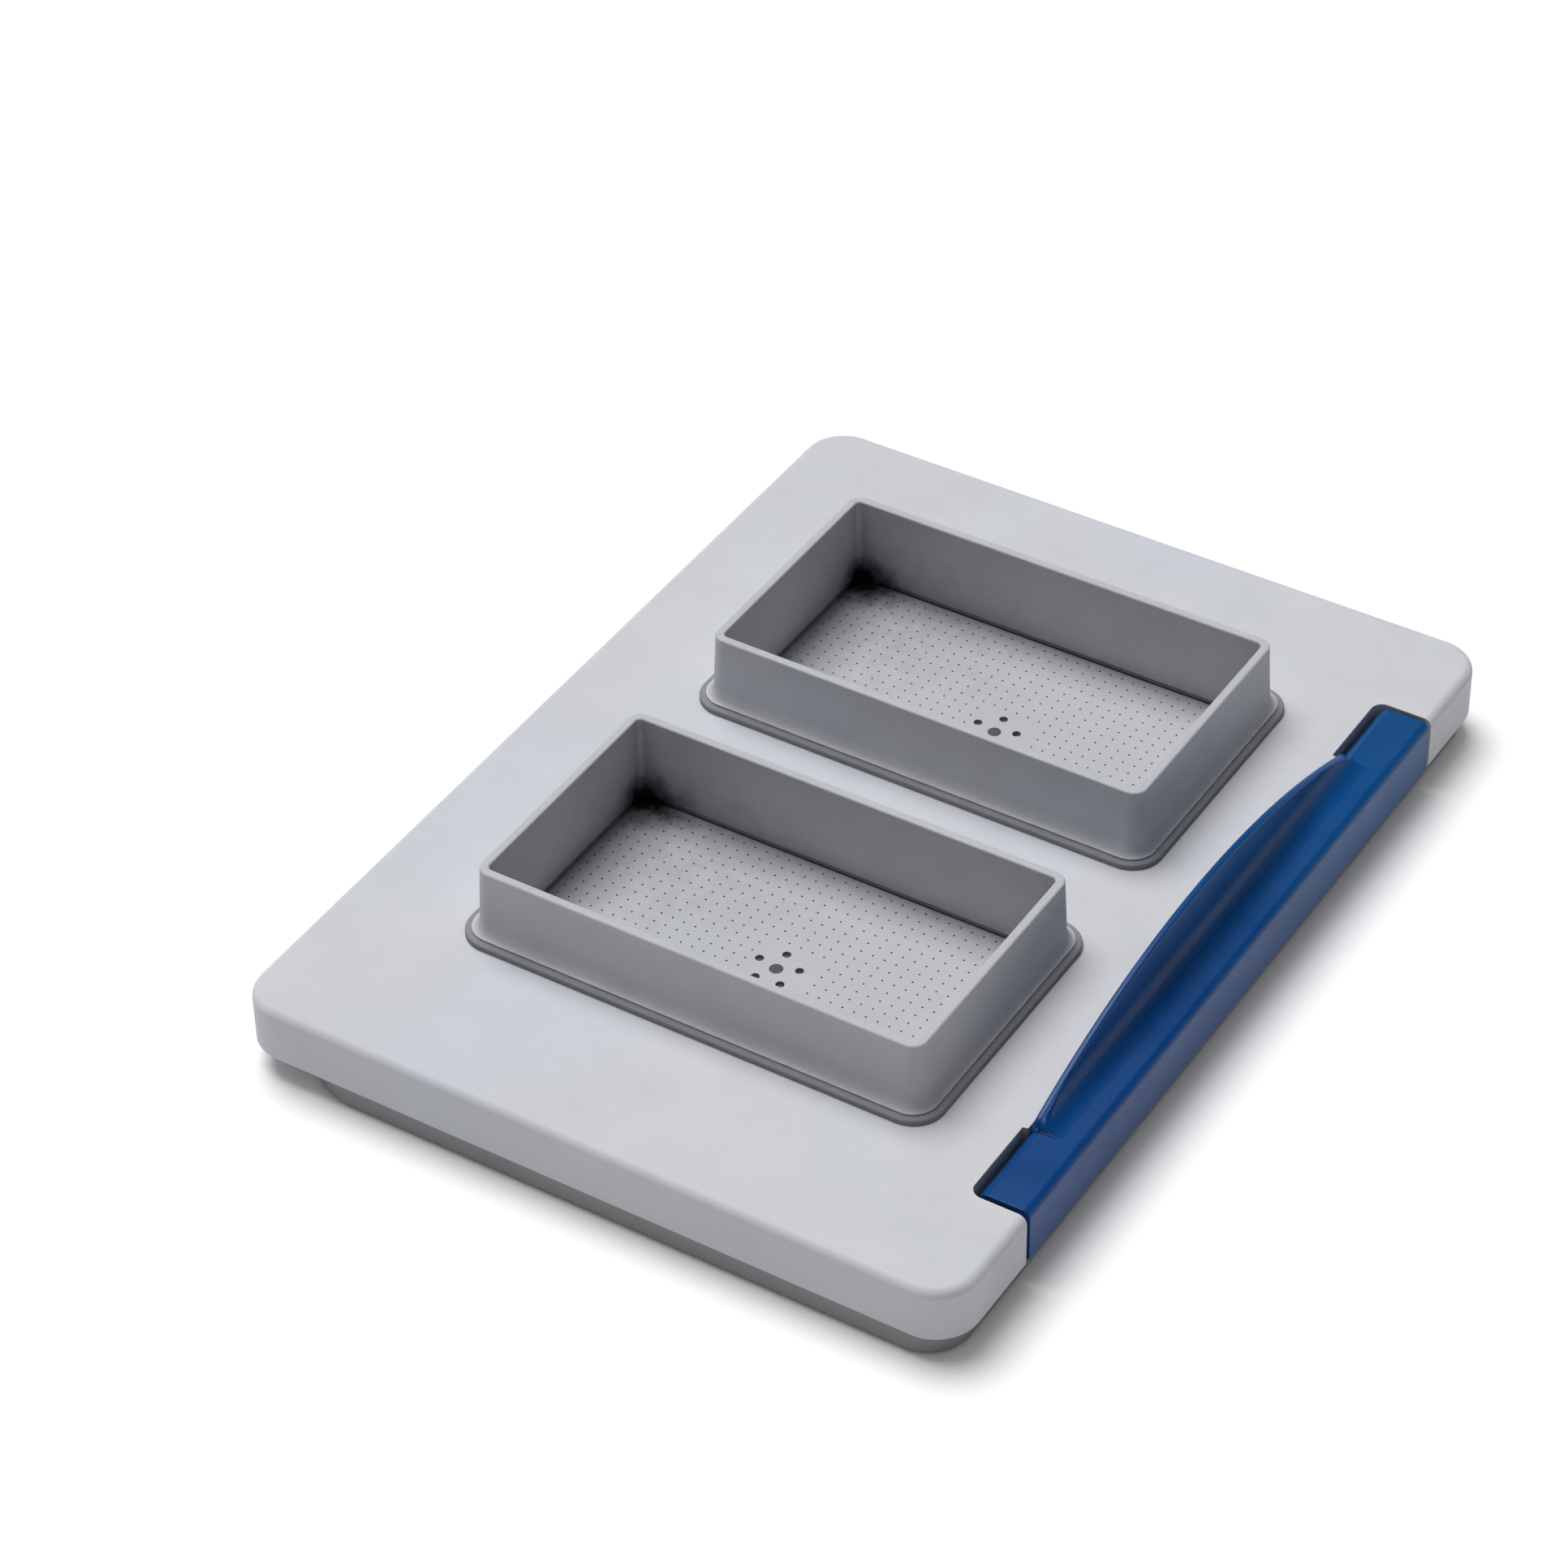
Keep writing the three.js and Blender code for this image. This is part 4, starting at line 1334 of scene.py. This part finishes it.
def latchSection():
    top, low, side = plateTop, latchLow.z, latchHigh.x
    skin, wall, edge, small = latch["skin"], latch["wall"], latch["edge"], latch["lowEdge"]
    # the barrel's round runs on to where it meets the skin
    lowest = math.asin((top - skin - latchAxisZ) / latch["barrel"]) + 4 * quarterTurn
    section = arc(latchAxisX, latchAxisZ, latch["barrel"], quarterTurn, lowest - quarterTurn, 22)
    section.append((side - wall, top - skin))
    section += [(side - wall, low + small), (side - wall + small, low)]
    section += arc(side - small, low + small, small, -quarterTurn, quarterTurn, 4)
    section += arc(side - edge, top - edge, edge, 0.0, quarterTurn, 9)
    return section


# The lip is a shallow arc between two short steps, with rounded edges all round it.
def lipOutline(inset):
    half, rise = latch["lipHalf"], latchHigh.z - plateTop - latch["lipEndStep"]
    radius = (half ** 2 + rise ** 2) / (2 * rise)
    reach = math.asin(half / radius)
    limit, steps = half - inset, 64
    ring = [(-limit, latchAxisZ), (limit, latchAxisZ)]
    for i in range(steps + 1):
        turn = -reach + 2 * reach * i / steps
        y = (radius - inset) * math.sin(-turn)
        z = latchHigh.z - radius + (radius - inset) * math.cos(turn)
        ring.append((max(-limit, min(limit, y)), z))
    return ring


def makeLip():
    edge = latch["lipRound"]
    near, far = [], []
    for i in range(6):
        turn = quarterTurn * i / 5
        depth, ring = edge * (1 - math.cos(turn)), lipOutline(edge * (1 - math.sin(turn)))
        near.append([(lipX + depth, y, z) for y, z in ring])
        far.append([(lipX + latch["lipThickness"] - depth, y, z) for y, z in ring])
    return faceOutwards(loft("lip", near + far[::-1]))


# The hollow curve that runs from the lip down into the skin.
def makeScoop():
    radius, inset = latch["scoopRadius"], latch["scoopInset"]
    face = lipX + latch["lipThickness"]
    root, foot = face - latch["lipThickness"] / 2, plateTop - inset
    section = [(root, latchAxisZ), (face + radius, latchAxisZ), (face + radius, foot)]
    section += arc(face + radius, plateTop + radius, radius, 3 * quarterTurn, -quarterTurn, 14)[1:]
    section.append((root, plateTop + radius))
    scoop = alongY("scoop", section, -latch["lipHalf"] + inset, latch["lipHalf"] - inset)
    rings = [[(x, y, z) for y, z in lipOutline(inset)] for x in (latchLow.x, latchHigh.x)]
    combine(scoop, [faceOutwards(loft("lipSide", rings))], "INTERSECT")
    return scoop


def makeLatchBar():
    half = latchHigh.y
    body = alongY("latchBar", latchSection(), -half, half)
    area = (latchLow.x, latchHigh.x + past, -half, half)
    plan = slab("plan", area, [latch["innerCorner"]] * 4, 0.0, latchHigh.z + past, cornerSteps=8)
    combine(body, [plan], "INTERSECT")
    back = block("cutBack", latchLow.x - overlap, lipX, -tabInner, tabInner, 0.0, plateTop + overlap)
    cutAway(body, back)
    toe = latchHigh.x - latch["wall"] - latch["toeDepth"]
    root, bottom, height = latchHigh.x - latch["wall"] / 2, latch["toeBottom"], latch["toeHeight"]
    section = [
        (root, bottom), (root, bottom + height), (toe, bottom + height),
        (toe, bottom + height / 2), (latchHigh.x - latch["wall"], bottom),
    ]
    joinTo(body, alongY("toe", section, -latch["toeHalf"], latch["toeHalf"]))
    softenEdges(body, latch["softEdge"])
    joinTo(body, makeScoop())
    joinTo(body, makeLip())
    radius, inner = latchPin["radius"] + latchPin["gap"], half - latchPin["inTab"] - latchPin["gap"]
    for y0, y1 in ((-half - past, -inner), (inner, half + past)):
        cutAway(body, barAlongY("bore", radius, latchAxisX, latchAxisZ, y0, y1, 24))
    return softenEdges(body, 0.0)


finishPiece(makeLatchBar(), "latch", "latch_bar", "latch_plastic")
print("latch made")


# What it stands on, and the light
studio = {
    "floorColour": (0.93, 0.93, 0.935, 1),
    "floorRoughness": 0.9,
    "floorSize": 12.0,  # metres
    "extraWhite": 0.18,  # added to what the camera sees of the floor
    "openWithin": 0.014,  # metres; less is added where the object is nearer than this, which paints shade on the floor round and under the object
    "keyPower": 2.75,
    "keyWidth": 40.0,  # degrees of sky that the key light fills
    "keyTilt": 21.0,  # degrees from straight above
    "keyFrom": 292.0,  # degrees round from the rear towards the latch side
    "ambient": 0.15,
    "horizon": 1.0,
    "overhead": 0.02,
    "skyBand": (0.1, 0.4),  # height over which the pale horizon fades
    "airColour": (0.985, 0.99, 1.0, 1),
}


def backgroundRays(tree):
    rays = addNode(tree, "ShaderNodeLightPath")
    seen = mathNode(tree, "ADD", rays.outputs["Is Camera Ray"], rays.outputs["Is Glossy Ray"], clamp=True)
    return mathNode(tree, "ADD", seen, rays.outputs["Is Transmission Ray"], clamp=True)


def makeStudio():
    half = studio["floorSize"] / 2
    ground = addObject("studioFloor", meshFrom(
        "studioFloor",
        [(-half, -half, 0.0), (half, -half, 0.0), (half, half, 0.0), (-half, half, 0.0)],
        [(0, 1, 2, 3)],
    ))
    material, tree, shader = startMaterial("studioFloor")
    # the added white fades near the object: painted shade on the floor round and under it
    clear = addNode(tree, "ShaderNodeAmbientOcclusion", samples=8)
    wire(tree, clear, Distance=studio["openWithin"])
    extra = times(tree, times(tree, backgroundRays(tree), studio["extraWhite"]), clear.outputs["AO"])
    wire(
        tree, shader,
        Base_Color=studio["floorColour"], Roughness=studio["floorRoughness"], Specular_IOR_Level=0.0,
        Emission_Color=(1, 1, 1, 1), Emission_Strength=extra,
    )
    ground.data.materials.append(material)

    lamp = bpy.data.lights.new("overheadKey", "SUN")
    lamp.energy = studio["keyPower"]
    lamp.angle = math.radians(studio["keyWidth"])
    key = bpy.data.objects.new("overheadKey", lamp)
    scene.collection.objects.link(key)
    tilt, around = math.radians(studio["keyTilt"]), math.radians(studio["keyFrom"])
    towards = Vector((math.sin(tilt) * math.sin(around), math.sin(tilt) * math.cos(around), math.cos(tilt)))
    key.rotation_mode = "QUATERNION"
    key.rotation_quaternion = towards.to_track_quat("Z", "Y")

    world = bpy.data.worlds.new("studioAir")
    world.use_nodes = True
    scene.world = world
    air = world.node_tree
    background = air.nodes["Background"]
    direction = addNode(air, "ShaderNodeTexCoord")
    height = splitVector(air, direction.outputs["Generated"])[2]
    sky = rangeNode(air, height, *studio["skyBand"], studio["horizon"], studio["overhead"])
    ambient = studio["ambient"]
    difference = mathNode(air, "SUBTRACT", sky, ambient)
    strength = mathNode(air, "ADD", times(air, difference, backgroundRays(air)), ambient)
    wire(air, background, Strength=strength, Color=studio["airColour"])


makeStudio()
print("studio made")

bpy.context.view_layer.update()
for thing in scene.objects:
    if thing.type == "MESH" and not thing.hide_render:
        thing.data.calc_loop_triangles()
        print(thing.name, len(thing.data.loop_triangles), "triangles")
